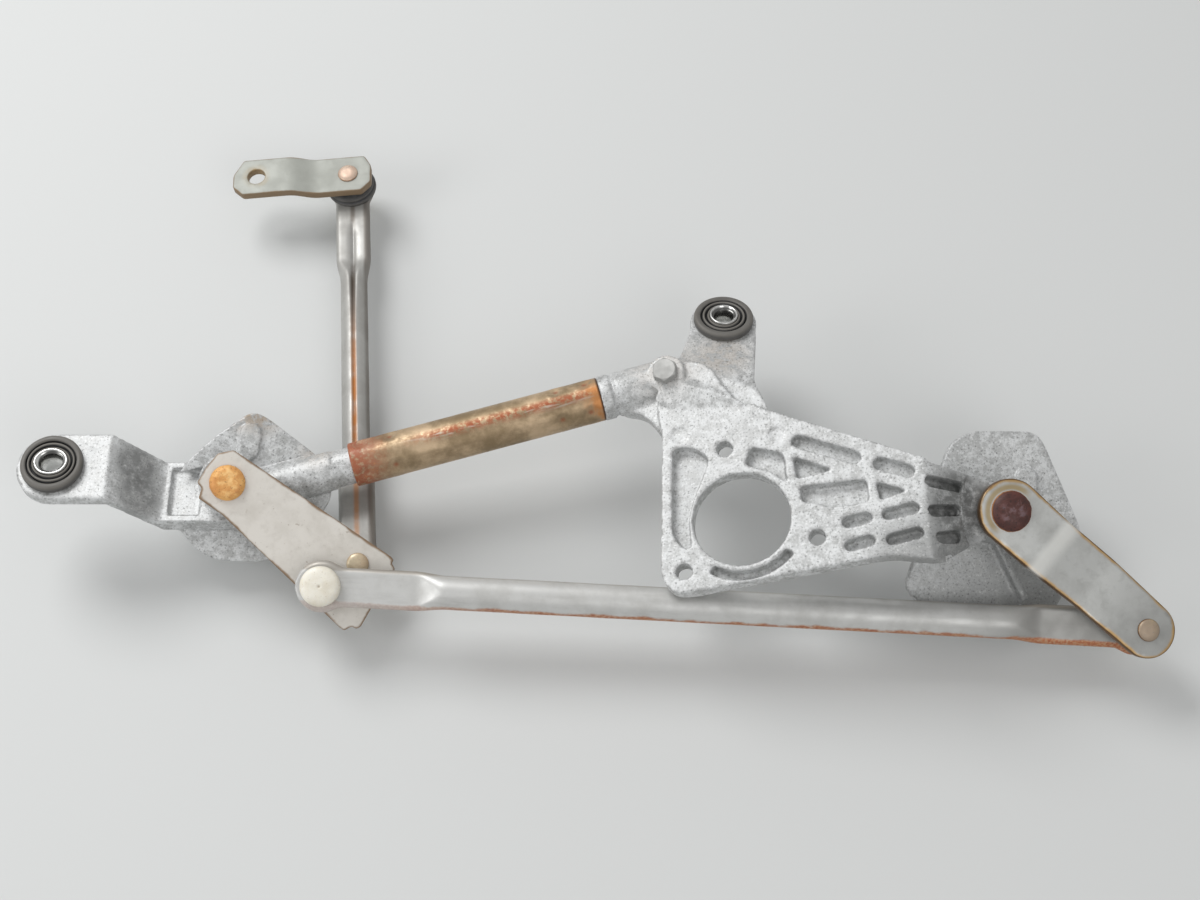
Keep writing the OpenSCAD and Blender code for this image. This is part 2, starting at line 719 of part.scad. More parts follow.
// washer under a boss
module lower_washer(boss_bottom) {
    color(steel_colour) translate([0, 0, boss_bottom - axial_gap - washer_t]) ring(washer_r, shaft_r + run_gap, washer_t);
}

module left_lower_washer() {
    left_frame() lower_washer(left_boss_bottom);
}

module right_lower_washer() {
    right_frame() lower_washer(right_boss_bottom);
}

// open retaining ring in the shaft groove
module retaining_ring(boss_bottom) {
    color(steel_colour) translate([0, 0, boss_bottom - axial_gap - washer_t - ring_t]) difference() {
        ring(ring_r, shaft_r - ring_groove + press_gap, ring_t);
        translate([0, -ring_gap / 2, -eps]) cube([ring_r + 1, ring_gap, ring_t + 2 * eps]);
    }
}

module left_ring() {
    left_frame() retaining_ring(left_boss_bottom);
}

module right_ring() {
    right_frame() retaining_ring(right_boss_bottom);
}

// flat left lever with two stud holes
module left_lever() {
    color(steel_colour) left_frame() difference() {
        slab(left_lever_line, lever_t, 2.4);
        translate([0, 0, -lever_t - eps]) cylinder(lever_t + 2 * eps, shaft_r + press_gap, shaft_r + press_gap);
        translate(polar(left_arm_len, left_arm_angle) - [0, 0, lever_t + eps]) cylinder(lever_t + 2 * eps, shank_r, shank_r);
        translate(polar(drive_arm_len, drive_arm_angle) - [0, 0, lever_t + eps]) cylinder(lever_t + 2 * eps, shank_r, shank_r);
    }
}

// joggled right lever
module right_lever() {
    side = [[-right_big_r - 1, 0], [joggle_start, 0], [joggle_end, joggle_rise], [right_arm_len + right_small_r + 1, joggle_rise],
        [right_arm_len + right_small_r + 1, joggle_rise - lever_t], [joggle_end + 0.6, joggle_rise - lever_t],
        [joggle_start + 0.6, -lever_t], [-right_big_r - 1, -lever_t]];
    span = right_big_r + 1;
    color(steel_colour) right_frame() rotate(right_arm_angle) difference() {
        intersection() {
            translate([0, 0, -2 * lever_t]) linear_extrude(4 * lever_t)
                polygon(concat(arc([0, 0], right_big_r, 90, 270), arc([right_arm_len, 0], right_small_r, -90, 90)));
            translate([0, span, 0]) rotate([90, 0, 0]) linear_extrude(2 * span) polygon(side);
        }
        translate([0, 0, -lever_t - eps]) cylinder(lever_t + 2 * eps, shaft_r + press_gap, shaft_r + press_gap);
        translate([right_arm_len, 0, joggle_rise - lever_t - eps]) cylinder(lever_t + 2 * eps, shank_r, shank_r);
    }
}

// ball stud riveted in a plate below it, ball centre at the origin
module ball_stud(r, t) {
    color(steel_colour) {
        sphere(r);
        translate([0, 0, -stud_reach]) cylinder(stud_reach, neck_r, neck_r);
        translate([0, 0, -stud_reach]) cylinder(stud_collar_t, stud_collar_r, stud_collar_r);
        translate([0, 0, -stud_reach - t - eps]) cylinder(t + 2 * eps, neck_r, neck_r);
        translate([0, 0, -stud_reach - t]) mirror([0, 0, 1]) rivet_dome(stud_head_r, stud_head_h);
    }
}

module left_rod_stud() {
    left_frame() translate(left_ball) ball_stud(ball_r, lever_t);
}

module left_drive_stud() {
    left_frame() translate(drive_ball) rotate([180, 0, 0]) ball_stud(ball_r, lever_t);
}

module right_rod_stud() {
    left_frame() translate(right_ball) rotate([180, 0, 0]) ball_stud(right_ball_r, lever_t);
}

module crank_stud() {
    crank_frame() rotate([180, 0, 0]) ball_stud(ball_r, crank_t);
}

// nylon socket round a ball, closed cap toward +z, ball centre at the origin
module socket(body_r, cavity_r, eye_t, open_z) {
    cap_r = body_r + socket_rim;
    cap_edge = 1.6;
    color(nylon_colour) difference() {
        union() {
            translate([0, 0, -open_z]) cylinder(open_z + eye_t / 2 + eps, body_r, body_r);
            translate([0, 0, eye_t / 2]) cylinder(socket_top - cap_edge - eye_t / 2, cap_r, cap_r);
            translate([0, 0, socket_top - cap_edge - eps]) cylinder(cap_edge + eps, cap_r, cap_r - cap_edge);
        }
        sphere(cavity_r);
        translate([0, 0, -open_z - eps]) cylinder(eps + open_z * 0.5, cavity_r * 0.9, cavity_r * 0.9);
    }
}

// nylon socket with free play, for the open joint of the loop
module loose_socket(body_r, eye_t) {
    cap_r = body_r + socket_rim;
    cap_edge = 1.6;
    cavity_r = right_ball_r + open_play;
    color(nylon_colour) difference() {
        union() {
            translate([0, 0, -eye_t / 2]) cylinder(eye_t + eps, body_r, body_r);
            translate([0, 0, eye_t / 2]) cylinder(socket_top - cap_edge - eye_t / 2, cap_r, cap_r);
            translate([0, 0, socket_top - cap_edge - eps]) cylinder(cap_edge + eps, cap_r, cap_r - cap_edge);
        }
        translate([0, 0, -eye_t]) cylinder(eye_t + right_ball_r + 1, cavity_r, cavity_r);
    }
}

module long_rod_left_socket() {
    long_rod_frame() socket(socket_r, ball_r + run_gap, long_flat_t, long_flat_t / 2);
}

module long_rod_right_socket() {
    long_rod_frame() translate([long_rod_len, 0, 0]) rotate([180, 0, 0]) loose_socket(right_socket_r, long_flat_t);
}

module motor_rod_drive_socket() {
    motor_rod_frame() rotate([180, 0, 0]) socket(socket_r, ball_r + run_gap, motor_flat_t, motor_flat_t / 2);
}

module motor_rod_crank_socket() {
    motor_rod_frame() translate([motor_rod_len, 0, 0]) rotate([180, 0, 0])
        socket(socket_r, ball_r + run_gap, motor_flat_t, motor_flat_t / 2);
}

// rolled rod with a seam slit and flattened ends, x from ball to ball
module rolled_rod(len, r, flat_t, flat_w, flat_len, eye_r, hole_a, hole_b, slit) {
    round_len = len - 2 * (flat_len + rod_blend);
    difference() {
        union() {
            translate([flat_len + rod_blend, 0, 0]) rotate([0, 90, 0]) cylinder(round_len, r, r);
            for (end = [0, 1]) translate([end * len, 0, 0]) rotate([0, 0, end * 180]) {
                translate([0, 0, -flat_t / 2]) cylinder(flat_t, eye_r, eye_r);
                translate([eye_r / 2, -flat_w / 2, -flat_t / 2]) cube([flat_len - eye_r / 2 + eps, flat_w, flat_t]);
                hull() {
                    translate([flat_len - 1, -flat_w / 2 + eps, -flat_t / 2 + eps]) cube([eps, flat_w - 2 * eps, flat_t - 2 * eps]);
                    translate([flat_len + rod_blend + 1, 0, 0]) rotate([0, 90, 0]) cylinder(eps, r - eps, r - eps, $fn = facet_fn);
                }
            }
        }
        translate([flat_len + rod_blend + seam_stop, 0, 0]) rotate([0, 90, 0])
            cylinder(round_len - 2 * seam_stop, r - rod_wall, r - rod_wall);
        translate([flat_len + rod_blend + seam_stop + 1, -seam_w / 2, slit > 0 ? 0 : -r - 1])
            cube([round_len - 2 * seam_stop - 2, seam_w, r + 1]);
        translate([0, 0, -flat_t]) cylinder(2 * flat_t, hole_a, hole_a);
        translate([len, 0, -flat_t]) cylinder(2 * flat_t, hole_b, hole_b);
    }
}

module long_rod() {
    color(steel_colour) long_rod_frame() rolled_rod(long_rod_len, long_rod_r, long_flat_t, long_flat_w, long_flat_len,
        long_eye_r, socket_r + press_gap, right_socket_r + press_gap, -1);
}

module motor_rod() {
    color(steel_colour) motor_rod_frame() rolled_rod(motor_rod_len, motor_rod_r, motor_flat_t, motor_flat_w, motor_flat_len,
        motor_eye_r, socket_r + press_gap, socket_r + press_gap, 1);
}

// rubber boot between motor rod and crank
module crank_boot() {
    low = motor_flat_t / 2;
    high = stud_reach - stud_collar_t - 0.4;
    waist = (low + high) / 2;
    inner = ball_r + 1;
    mouth = neck_r + 0.6;
    wall = 1.6;
    color(rubber_colour) motor_rod_frame() translate([motor_rod_len, 0, 0]) rotate_extrude()
        polygon([[inner, low], [boot_r, low], [boot_r, low + wall], [boot_r - 1.4, waist], [boot_r - 0.8, waist + 0.8],
            [mouth + 2.6, high], [mouth, high], [mouth, high - wall], [inner, waist]]);
}

// joggled crank arm with clipped corners
module crank() {
    near = 12.8;
    far = crank_len + 11.4;
    half = crank_w / 2;
    clip = 5.5;
    base = stud_reach;
    bend_a = 14;
    bend_b = 24;
    side = [[-near - 1, base], [bend_a, base], [bend_b, base + crank_rise], [far + 1, base + crank_rise],
        [far + 1, base + crank_rise + crank_t], [bend_b - 0.8, base + crank_rise + crank_t],
        [bend_a - 0.8, base + crank_t], [-near - 1, base + crank_t]];
    plan = [[-near, -half + clip], [-near + clip, -half], [far - clip, -half], [far, -half + clip],
        [far, half - clip], [far - clip, half], [-near + clip, half], [-near, half - clip]];
    color(steel_colour) crank_frame() difference() {
        intersection() {
            linear_extrude(base + crank_rise + 2 * crank_t) polygon(soft(plan, 2));
            translate([0, half + 1, 0]) rotate([90, 0, 0]) linear_extrude(crank_w + 2) polygon(side);
        }
        translate([0, 0, base - eps]) cylinder(crank_t + 2 * eps, shank_r, shank_r);
        translate([crank_len, 0, base]) cylinder(crank_rise + 2 * crank_t, crank_hole_r, crank_hole_r);
    }
}

left_housing();
frame_tube();
motor_frame();
left_grommet();
mid_grommet();
left_collar();
mid_collar();
left_upper_bush();
left_lower_bush();
right_upper_bush();
right_lower_bush();
elbow_bolt();
left_shaft();
left_thrust_washer();
left_lower_washer();
left_ring();
left_lever();
left_rod_stud();
left_drive_stud();
right_shaft();
right_thrust_washer();
right_lower_washer();
right_ring();
right_lever();
right_rod_stud();
long_rod();
long_rod_left_socket();
long_rod_right_socket();
motor_rod();
motor_rod_drive_socket();
motor_rod_crank_socket();
crank_boot();
crank();
crank_stud();
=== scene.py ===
import math

import bmesh
import bpy
from mathutils import Matrix, Vector, geometry, noise


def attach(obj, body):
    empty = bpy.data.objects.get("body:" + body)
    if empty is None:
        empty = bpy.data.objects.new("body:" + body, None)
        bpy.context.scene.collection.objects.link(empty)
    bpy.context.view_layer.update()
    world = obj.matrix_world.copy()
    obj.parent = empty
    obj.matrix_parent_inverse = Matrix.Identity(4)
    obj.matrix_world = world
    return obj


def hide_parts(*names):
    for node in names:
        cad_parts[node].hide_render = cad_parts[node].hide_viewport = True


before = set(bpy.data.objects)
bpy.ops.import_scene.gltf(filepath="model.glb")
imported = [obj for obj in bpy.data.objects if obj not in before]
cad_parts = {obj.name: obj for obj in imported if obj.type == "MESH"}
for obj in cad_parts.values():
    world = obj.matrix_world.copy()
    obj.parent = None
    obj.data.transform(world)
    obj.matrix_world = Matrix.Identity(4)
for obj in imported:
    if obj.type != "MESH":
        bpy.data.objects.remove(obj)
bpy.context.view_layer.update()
scene = bpy.context.scene
MM = 0.001


# Floor, light and camera. The linkage stands on a plain pale floor under three soft round lamps, the
# strongest behind it on the left. The camera looks down on it at the photograph's angle.
camera_place = (4.9, -446.1, 776.2)
camera_pitch = 29
camera_lens = 57
camera_sensor = 36
camera_near = 0.01
floor_half = 6.0
floor_pale = (0.62, 0.63, 0.625, 1)
floor_rough = 0.6
floor_gloss = 0.2
world_light = 0.52
lamp_list = [
    ("key_lamp", (-0.75, 0.75, 1.25), 0.9, 14.5),
    ("side_lamp", (-1.3, -0.5, 0.8), 0.7, 4.5),
    ("front_lamp", (0.6, -1.2, 1.3), 1.0, 5.0),
]


def put(name, data):
    """New object in the scene."""
    thing = bpy.data.objects.new(name, data)
    scene.collection.objects.link(thing)
    return thing


camera = put("camera", bpy.data.cameras.new("camera"))
camera.data.lens = camera_lens
camera.data.sensor_width = camera_sensor
camera.data.clip_start = camera_near
camera.location = Vector(camera_place) * MM
camera.rotation_euler = (math.radians(camera_pitch), 0, 0)
scene.camera = camera
scene.view_settings.view_transform = "Standard"

floor_mesh = bpy.data.meshes.new("floor")
floor_mesh.from_pydata([(floor_half * x, floor_half * y, 0) for x, y in ((-1, -1), (1, -1), (1, 1), (-1, 1))],
                       [], [(0, 1, 2, 3)])
floor = put("floor", floor_mesh)
paper = bpy.data.materials.new("floor_paper")
paper.use_nodes = True
paper_sockets = paper.node_tree.nodes["Principled BSDF"].inputs
paper_sockets["Roughness"].default_value = floor_rough
paper_sockets["Specular IOR Level"].default_value = floor_gloss
paper_sockets["Base Color"].default_value = floor_pale
floor_mesh.materials.append(paper)

scene.world = bpy.data.worlds.new("studio")
scene.world.use_nodes = True
sky_sockets = scene.world.node_tree.nodes["Background"].inputs
sky_sockets["Color"].default_value = (1, 1, 1, 1)
sky_sockets["Strength"].default_value = world_light

for lamp_name, lamp_place, lamp_size, lamp_power in lamp_list:
    lamp = put(lamp_name, bpy.data.lights.new(lamp_name, "AREA"))
    lamp.data.shape = "DISK"
    lamp.data.size = lamp_size
    lamp.data.energy = lamp_power
    lamp.location = lamp_place
    lamp.rotation_euler = (-Vector(lamp_place)).to_track_quat("-Z", "Y").to_euler()


# Motor frame. One aluminium die casting: pocketed plate, elbow, grommet ear, slotted neck and the right
# pivot boss. Its skin is speckled with white bloom, and painted shade darkens its corners and hollows.
casting_voxel = 0.66
casting_passes = 3
motor_frame_keep = 0.6
left_pivot = Vector((-156.6, -59.3, 48.996))
pivot_turn = (26, 8, 0)
right_pivot = (330.7, 7.7, 61)
plate_centre = Vector((65.1, -79.8, 55.5))
plate_turn = (5.5, -12, 0)
plate_thick = 7.6
plate_stop = 78.5
plate_fill = [(-32, 41), (-33, -12), (-24, -25), (60, -19), (78, -20), (78, 18), (10, 47), (-28, 47)]
ramp_sides = (-37, 26)
ramp_foot = (36, 53)
ramp_end = 84
ramp_rise = 5.5
ear_edge = [(10.5, 51), (2.2, 53.4), (-5.7, 64.1), (-9.4, 71.9), (-16, 77), (-16, 86), (45, 86), (45, 35.4)]
ear_sink = 3.0
trim_height = 25
pocket_depth = 5.1
pocket_list = [
    ([(-28.6, 35.6), (-20, 35.6), (-12.6, 29.6), (-15.5, 22), (-20.4, 10.8), (-23, 1), (-22, -8),
      (-22.6, -11.5), (-26.6, -10.5), (-30.3, -4)], 3.5),
    ([(5.6, 32.8), (19.4, 28.4), (20.4, 14.2), (13.6, 20.4), (2.4, 24.8)], 2.2),
    ([(23.4, 26.4), (40.6, 18.4), (24.4, 15.8)], 1.1),
    ([(25.4, 12.2), (54, 12.6), (54.2, 2.2), (38, 1.2), (34, 3.4), (26, 4.8)], 2.2),
    ([(57.6, 11), (70.6, 5.8), (58.8, 2.6)], 1.1),
]
plate_slots = [
    ((26, 33.2), (49.4, 23.2), 2.9), ((60, 19.2), (71.4, 14.6), 2.9), ((44.6, -6), (52.4, -4.7), 2.6),
    ((61.6, -4.1), (72.2, -2.3), 2.6), ((45, -16.5), (52.8, -15.1), 2.6), ((62.4, -15.4), (73, -13.6), 2.6),
]
arc_slot_inner = 2.6
arc_slot_outer = 6.6
arc_slot_turns = (-123, -39.5)
neck_slope = 40
neck_sides = (-24.4, 18.6)
neck_end_sides = (-13.0, 12.4)
neck_room = (-30, 25)
neck_end_room = (-22, 18)
neck_end_thick = 10
neck_trim = 20
neck_end_trim = 14
neck_slots = [((3.3, 9.4), (17.5, 8.7), 2.6), ((3.4, -4), (15, -2.2), 2.6), ((6, -15.6), (15.5, -13.2), 2.6)]
neck_slot_depth = 4.0
boss_side = -10.0
boss_face = -5.6
lever_room = 23.0
lever_room_height = 30
motor_opening = 21.0
opening_reach = 20
bolt_circle = 33.5
bolt_hole = 3.5
bolt_angles = (100, -20, -140)
hole_clearance = 0.03
cast_marks = ((-25.3, 41.6), (17.5, 37.2))
cast_mark_radius = 3.8
cast_mark_depth = 0.4
over_cut = 3
cast_speck_and_shade = (0.15, 0.152, 0.148, 1)
cast_mid = (0.43, 0.435, 0.43, 1)
cast_pale = (0.66, 0.67, 0.67, 1)
cast_bloom = (0.82, 0.83, 0.83, 1)
cast_hollow_shade = (0.09, 0.085, 0.075, 1)
cast_brown = (0.30, 0.22, 0.14, 1)
motor_frame_stains = [
    ((224, -23, 45), 6, 26, 0.9), ((206, -15, 47), 2, 18, 0.7), ((60, 3, 56), 5, 18, 0.35),
    ((33, -2, 54), 6, 26, 0.25),
]
# Patches of painted shade on the neck's slope and on the flange below the arm.
motor_frame_painted_shade = [
    ((156, -78, 62), 11, 22, 1.0), ((148, -96, 60), 6, 22, 0.7), ((189, -119, 35), 20, 60, 0.65),
    ((132, -100, 66), 5, 22, 0.5), ((180, -92, 46), 4, 14, 0.4),
]


def place(origin, turn):
    """Frame of a piece from its origin in mm and its turns about x, y and z in degrees."""
    x, y, z = (math.radians(angle) for angle in turn)
    turned_frame = Matrix.Rotation(z, 4, "Z") @ Matrix.Rotation(y, 4, "Y") @ Matrix.Rotation(x, 4, "X")
    return Matrix.Translation(Vector(origin) * MM) @ turned_frame


def shifted(seat, point):
    """Frame moved along its own axes, in mm."""
    return seat @ Matrix.Translation(Vector(point) * MM)


def fill(tree, socket, value):
    """Links a socket to another one, or sets it to a value."""
    if isinstance(value, bpy.types.NodeSocket):
        tree.links.new(value, socket)
    else:
        socket.default_value = value


def new_node(tree, kind, inputs, **settings):
    """New node with its settings made and its inputs filled."""
    node = tree.nodes.new(kind)
    for key, value in settings.items():
        setattr(node, key, value)
    for key, value in inputs.items():
        fill(tree, node.inputs[key], value)
    return node


class Finish:
    """A finish built from nodes and laid on in coats. Patterns read Object coordinates, in metres."""

    def __init__(self, name, base, rough, metal):
        self.material = bpy.data.materials.new(name)
        self.material.use_nodes = True
        self.tree = self.material.node_tree
        self.shader = self.tree.nodes["Principled BSDF"]
        self.tone = base
        self.set("Roughness", rough)
        self.set("Metallic", metal)
        self.where = self.node("TexCoord", {}).outputs["Object"]

    def node(self, kind, inputs, **settings):
        return new_node(self.tree, "ShaderNode" + kind, inputs, **settings)

    def set(self, key, value):
        fill(self.tree, self.shader.inputs[key], value)

    def at(self, seat):
        """Coordinates in a piece's own frame."""
        inverse = seat.inverted()
        return self.node("Mapping", {"Vector": self.where, "Rotation": inverse.to_euler(),
                                     "Location": inverse.to_translation()}).outputs["Vector"]

    def part(self, vector, axis):
        return self.node("SeparateXYZ", {0: vector}).outputs["XYZ".index(axis)]

    def grain(self, scale, detail, rough, stretch=None, vector=None):
        vector = vector or self.where
        if stretch:
            vector = self.node("Mapping", {"Vector": vector, "Scale": stretch}).outputs["Vector"]
        return self.node("TexNoise", {"Vector": vector, "Scale": scale, "Detail": detail,
                                      "Roughness": rough}).outputs["Fac"]

    def span(self, value, low, high, start=0.0, end=1.0):
        """Maps low to high onto start to end, with soft ends."""
        limits = {"From Min": low, "From Max": high, "To Min": start, "To Max": end}
        ramp = self.node("MapRange", {"Value": value, **limits}, interpolation_type="SMOOTHSTEP")
        return ramp.outputs["Result"]

    def times(self, first, second):
        return self.node("Math", {0: first, 1: second}, operation="MULTIPLY", use_clamp=True).outputs[0]

    def plus(self, first, second):
        return self.node("Math", {0: first, 1: second}, operation="ADD", use_clamp=True).outputs[0]

    def minus(self, first, second):
        return self.node("Math", {0: first, 1: second}, operation="SUBTRACT").outputs[0]

    def mix(self, share, first, second):
        return self.node("Mix", {0: share, 6: first, 7: second}, data_type="RGBA").outputs[2]

    def coat(self, colour, share, *more):
        """Lays a colour over what is there. Its share from 0 to 1 is the product of the shares given."""
        for other in more:
            share = self.times(share, other)
        self.tone = self.mix(share, self.tone, colour)
        self.set("Base Color", self.tone)

    def near(self, point, inner, outer):
        """1 within inner mm of a point, 0 beyond outer mm."""
        gap = self.node("VectorMath", {0: self.where, 1: Vector(point) * MM}, operation="DISTANCE")
        return self.span(gap.outputs["Value"], inner * MM, outer * MM, 1.0, 0.0)

    def corner(self, low, high):
        """Share of a hollow or an edge, from how sharply the skin bends."""
        return self.span(self.node("NewGeometry", {}).outputs["Pointiness"], low, high)

    def bump(self, height, depth):
        """Fine relief, its depth in mm."""
        relief = self.node("Bump", {"Height": height, "Distance": depth * MM, "Strength": 1.0})
        self.set("Normal", relief.outputs["Normal"])


def cast_finish(name, stains, painted_shade_spots):
    """Aluminium casting skin. Stains and patches of painted shade are (point, inner, outer, share)."""
    skin = Finish(name, cast_mid, 0.5, 0.35)
    cloud = skin.grain(34, 4, 0.6)
    blotch = skin.grain(95, 6, 0.7)
    mottle = skin.grain(260, 5, 0.7)
    speck = skin.grain(1050, 3, 0.7)
    skin.coat(cast_pale, skin.span(mottle, 0.38, 0.62))
    skin.coat(cast_mid, skin.span(blotch, 0.52, 0.66, 0, 0.4))
    skin.coat(cast_mid, skin.span(cloud, 0.56, 0.8, 0, 0.45))
    skin.coat(cast_speck_and_shade, skin.span(speck, 0.55, 0.68, 0, 0.8))
    skin.coat(cast_bloom, skin.span(speck, 0.43, 0.32, 0, 0.65))
    # Patches of painted shade in the casting's dark tone, and brown stains, each broken up by the mottle.
    for spots, low, high, colour in ((painted_shade_spots, 0.25, 0.6, cast_speck_and_shade), (stains, 0.4, 0.55, cast_brown)):
        for point, inner, outer, share in spots:
            skin.coat(colour, skin.near(point, inner, outer), share, skin.span(mottle, low, high))
    # Painted shade: the hollows, found by pointiness, are darkened.
    skin.coat(cast_hollow_shade, skin.corner(0.485, 0.40), 0.75)
    skin.coat(cast_pale, skin.corner(0.53, 0.62), 0.5)
    skin.set("Roughness", skin.span(mottle, 0.3, 0.7, 0.40, 0.62))
    skin.bump(skin.plus(skin.times(mottle, 0.7), skin.times(speck, 0.3)), 0.12)
    return skin.material


def link_piece(name, mesh, material, body, node):
    """Puts a finished mesh in the scene in place of its CAD node."""
    piece = put(name, mesh)
    mesh.materials.clear()
    mesh.materials.append(material)
    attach(piece, body)
    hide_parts(node)


def rounded_line(points, corner):
    """Outline with its corners drawn as short curves."""
    line = []
    count = len(points)
    for k in range(count):
        middle = Vector(points[k])
        before = Vector(points[k - 1]) - middle
        after = Vector(points[(k + 1) % count]) - middle
        start = middle + before.normalized() * min(corner, before.length * 0.48)
        stop = middle + after.normalized() * min(corner, after.length * 0.48)
        for step in range(7):
            t = step / 6
            line.append((1 - t) ** 2 * start + 2 * t * (1 - t) * middle + t * t * stop)
    return line


def arc_line(centre, radius, start, stop, steps):
    turns = [math.radians(start + (stop - start) * k / steps) for k in range(steps + 1)]
    return [Vector((centre[0] + radius * math.cos(turn), centre[1] + radius * math.sin(turn)))
            for turn in turns]


def round_line(centre, radius):
    """Full circle as an outline of 45 points."""
    return arc_line(centre, radius, 0, 352, 44)


def slot_line(start, stop, radius):
    run = Vector(stop) - Vector(start)
    turn = math.degrees(math.atan2(run.y, run.x))
    return (arc_line(stop, radius, turn - 90, turn + 90, 12)
            + arc_line(start, radius, turn + 90, turn + 270, 12))


def add_prism(shell, outline, low, high, seat):
    """Closed prism over an outline, heights in mm along the seat's z."""
    around_area = sum(outline[k - 1][0] * outline[k][1] - outline[k][0] * outline[k - 1][1]
                      for k in range(len(outline)))
    line = outline if around_area > 0 else outline[::-1]
    foot, top = ([shell.verts.new(seat @ (Vector((*point, level)) * MM)) for point in line]
                 for level in (low, high))
    shell.faces.new(foot[::-1])
    shell.faces.new(top)
    for k in range(len(line)):
        shell.faces.new((foot[k - 1], foot[k], top[k], top[k - 1]))


def add_hull(shell, points):
    """Closed hull round points in metres."""
    made = bmesh.ops.convex_hull(shell, input=[shell.verts.new(point) for point in points])
    skin = [item for item in made["geom"] if isinstance(item, bmesh.types.BMFace)]
    spare = {item for item in made["geom_interior"] + made["geom_unused"]
             if isinstance(item, bmesh.types.BMVert)}
    bmesh.ops.recalc_face_normals(shell, faces=skin)
    bmesh.ops.delete(shell, geom=list(spare), context="VERTS")


def span_points(seat, x_ends, y_ends, z_ends):
    """Corners of a block in a piece's own frame."""
    return [seat @ (Vector((x, y, z)) * MM) for x in x_ends for y in y_ends for z in z_ends]


def settle(shell, mesh):
    """Writes a worked shell into a mesh."""
    shell.to_mesh(mesh)
    shell.free()
    return mesh


def worked(piece, tool, operation, solver):
    """Joins a tool to a piece or cuts it away."""
    step = piece.modifiers.new(operation, "BOOLEAN")
    step.operation = operation
    step.object = tool
    step.solver = solver


def made_mesh(maker, tools=()):
    """Plain mesh that an object's modifiers make. The object and its tools are then cleared away."""
    made = bpy.data.meshes.new_from_object(maker.evaluated_get(bpy.context.evaluated_depsgraph_get()))
    for spare in (*tools, maker):
        bpy.data.objects.remove(spare)
    return made


def softened(node, keep, steps):
    """Copy of a cast node with the edge radii that a die leaves. Steps are (operation, shell)."""
    shell = bmesh.new()
    shell.from_mesh(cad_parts[node].data)
    bmesh.ops.remove_doubles(shell, verts=shell.verts, dist=0.002 * MM)
    blank = put(node + "_blank", settle(shell, bpy.data.meshes.new(node)))
    tools = []
    for operation, tool_shell in steps:
        tools.append(put(node + "_tool", settle(tool_shell, bpy.data.meshes.new(node + "_tool"))))
        worked(blank, tools[-1], operation, "MANIFOLD")
    skin = blank.modifiers.new("skin", "REMESH")
    skin.mode = "VOXEL"
    skin.voxel_size = casting_voxel * MM
    radii = blank.modifiers.new("radii", "SMOOTH")
    radii.factor = 0.5
    radii.iterations = casting_passes
    blank.modifiers.new("fewer", "DECIMATE").ratio = keep
    soft = made_mesh(blank, tools)
    soft.shade_smooth()
    return soft


plate_seat = place(plate_centre, plate_turn)
left_seat = place(left_pivot, pivot_turn)
right_seat = shifted(left_seat, right_pivot)
neck_seat = plate_seat @ place((plate_stop - 1, 0, 0), (0, neck_slope, 0))

frame_trim = bmesh.new()
add_hull(frame_trim, span_points(plate_seat, ramp_sides, ramp_foot, (0.02, trim_height))
         + span_points(plate_seat, ramp_sides, (ramp_end,), (ramp_rise, trim_height)))
add_prism(frame_trim, ear_edge, -ear_sink, trim_height, plate_seat)
add_hull(frame_trim, span_points(plate_seat, (plate_stop,), neck_room, (0, neck_trim))
         + span_points(right_seat, (boss_side,), neck_end_room, (boss_face - 1, boss_face + neck_end_trim)))

frame_added = bmesh.new()
add_prism(frame_added, plate_fill, 0.1 - plate_thick, -0.01, plate_seat)
neck_start = span_points(plate_seat, (plate_stop - 1.5, plate_stop), neck_sides, (0.3 - plate_thick, -0.1))
neck_end = span_points(right_seat, (boss_side, boss_side + 1), neck_end_sides,
                       (boss_face - neck_end_thick, boss_face - 1))
add_hull(frame_added, neck_start + neck_end)

frame_cuts = bmesh.new()
for outline, corner in pocket_list:
    add_prism(frame_cuts, rounded_line(outline, corner), -pocket_depth, over_cut, plate_seat)
for start, stop, radius in plate_slots:
    add_prism(frame_cuts, slot_line(start, stop, radius), -pocket_depth, over_cut, plate_seat)
for start, stop, radius in neck_slots:
    add_prism(frame_cuts, slot_line(start, stop, radius), -neck_slot_depth, 2 * over_cut, neck_seat)
add_prism(frame_cuts, arc_line((0, 0), motor_opening + arc_slot_outer, *arc_slot_turns, 24)
          + arc_line((0, 0), motor_opening + arc_slot_inner, *arc_slot_turns[::-1], 24),
          -pocket_depth, over_cut, plate_seat)
add_prism(frame_cuts, arc_line((0, 0), motor_opening + hole_clearance, 0, 357, 119),
          -plate_thick - opening_reach, opening_reach, plate_seat)
for angle in bolt_angles:
    spot = (bolt_circle * math.cos(math.radians(angle)), bolt_circle * math.sin(math.radians(angle)))
    add_prism(frame_cuts, round_line(spot, bolt_hole + hole_clearance), -plate_thick - 1, over_cut,
              plate_seat)
add_prism(frame_cuts, round_line((0, 0), lever_room), boss_face, boss_face + lever_room_height, right_seat)
for spot in cast_marks:
    add_prism(frame_cuts, round_line(spot, cast_mark_radius), -cast_mark_depth, over_cut, plate_seat)

motor_frame_mesh = softened("motor_frame", motor_frame_keep, [
    ("DIFFERENCE", frame_trim), ("UNION", frame_added), ("DIFFERENCE", frame_cuts)])
motor_frame_skin = cast_finish("cast_motor_frame", motor_frame_stains, motor_frame_painted_shade)
link_piece("motor_frame_casting", motor_frame_mesh, motor_frame_skin, "frame", "motor_frame")


# Left housing. The smaller aluminium die casting: grommet eye, stepped arm, rimmed pocket, left pivot boss,
# flange and the stub that the tube is crimped on. Its skin is that of the motor frame.
left_housing_keep = 0.8
left_housing_stains = [((-149, -16, 42), 5, 20, 0.9), ((-120, -39, 36), 3, 14, 0.35)]
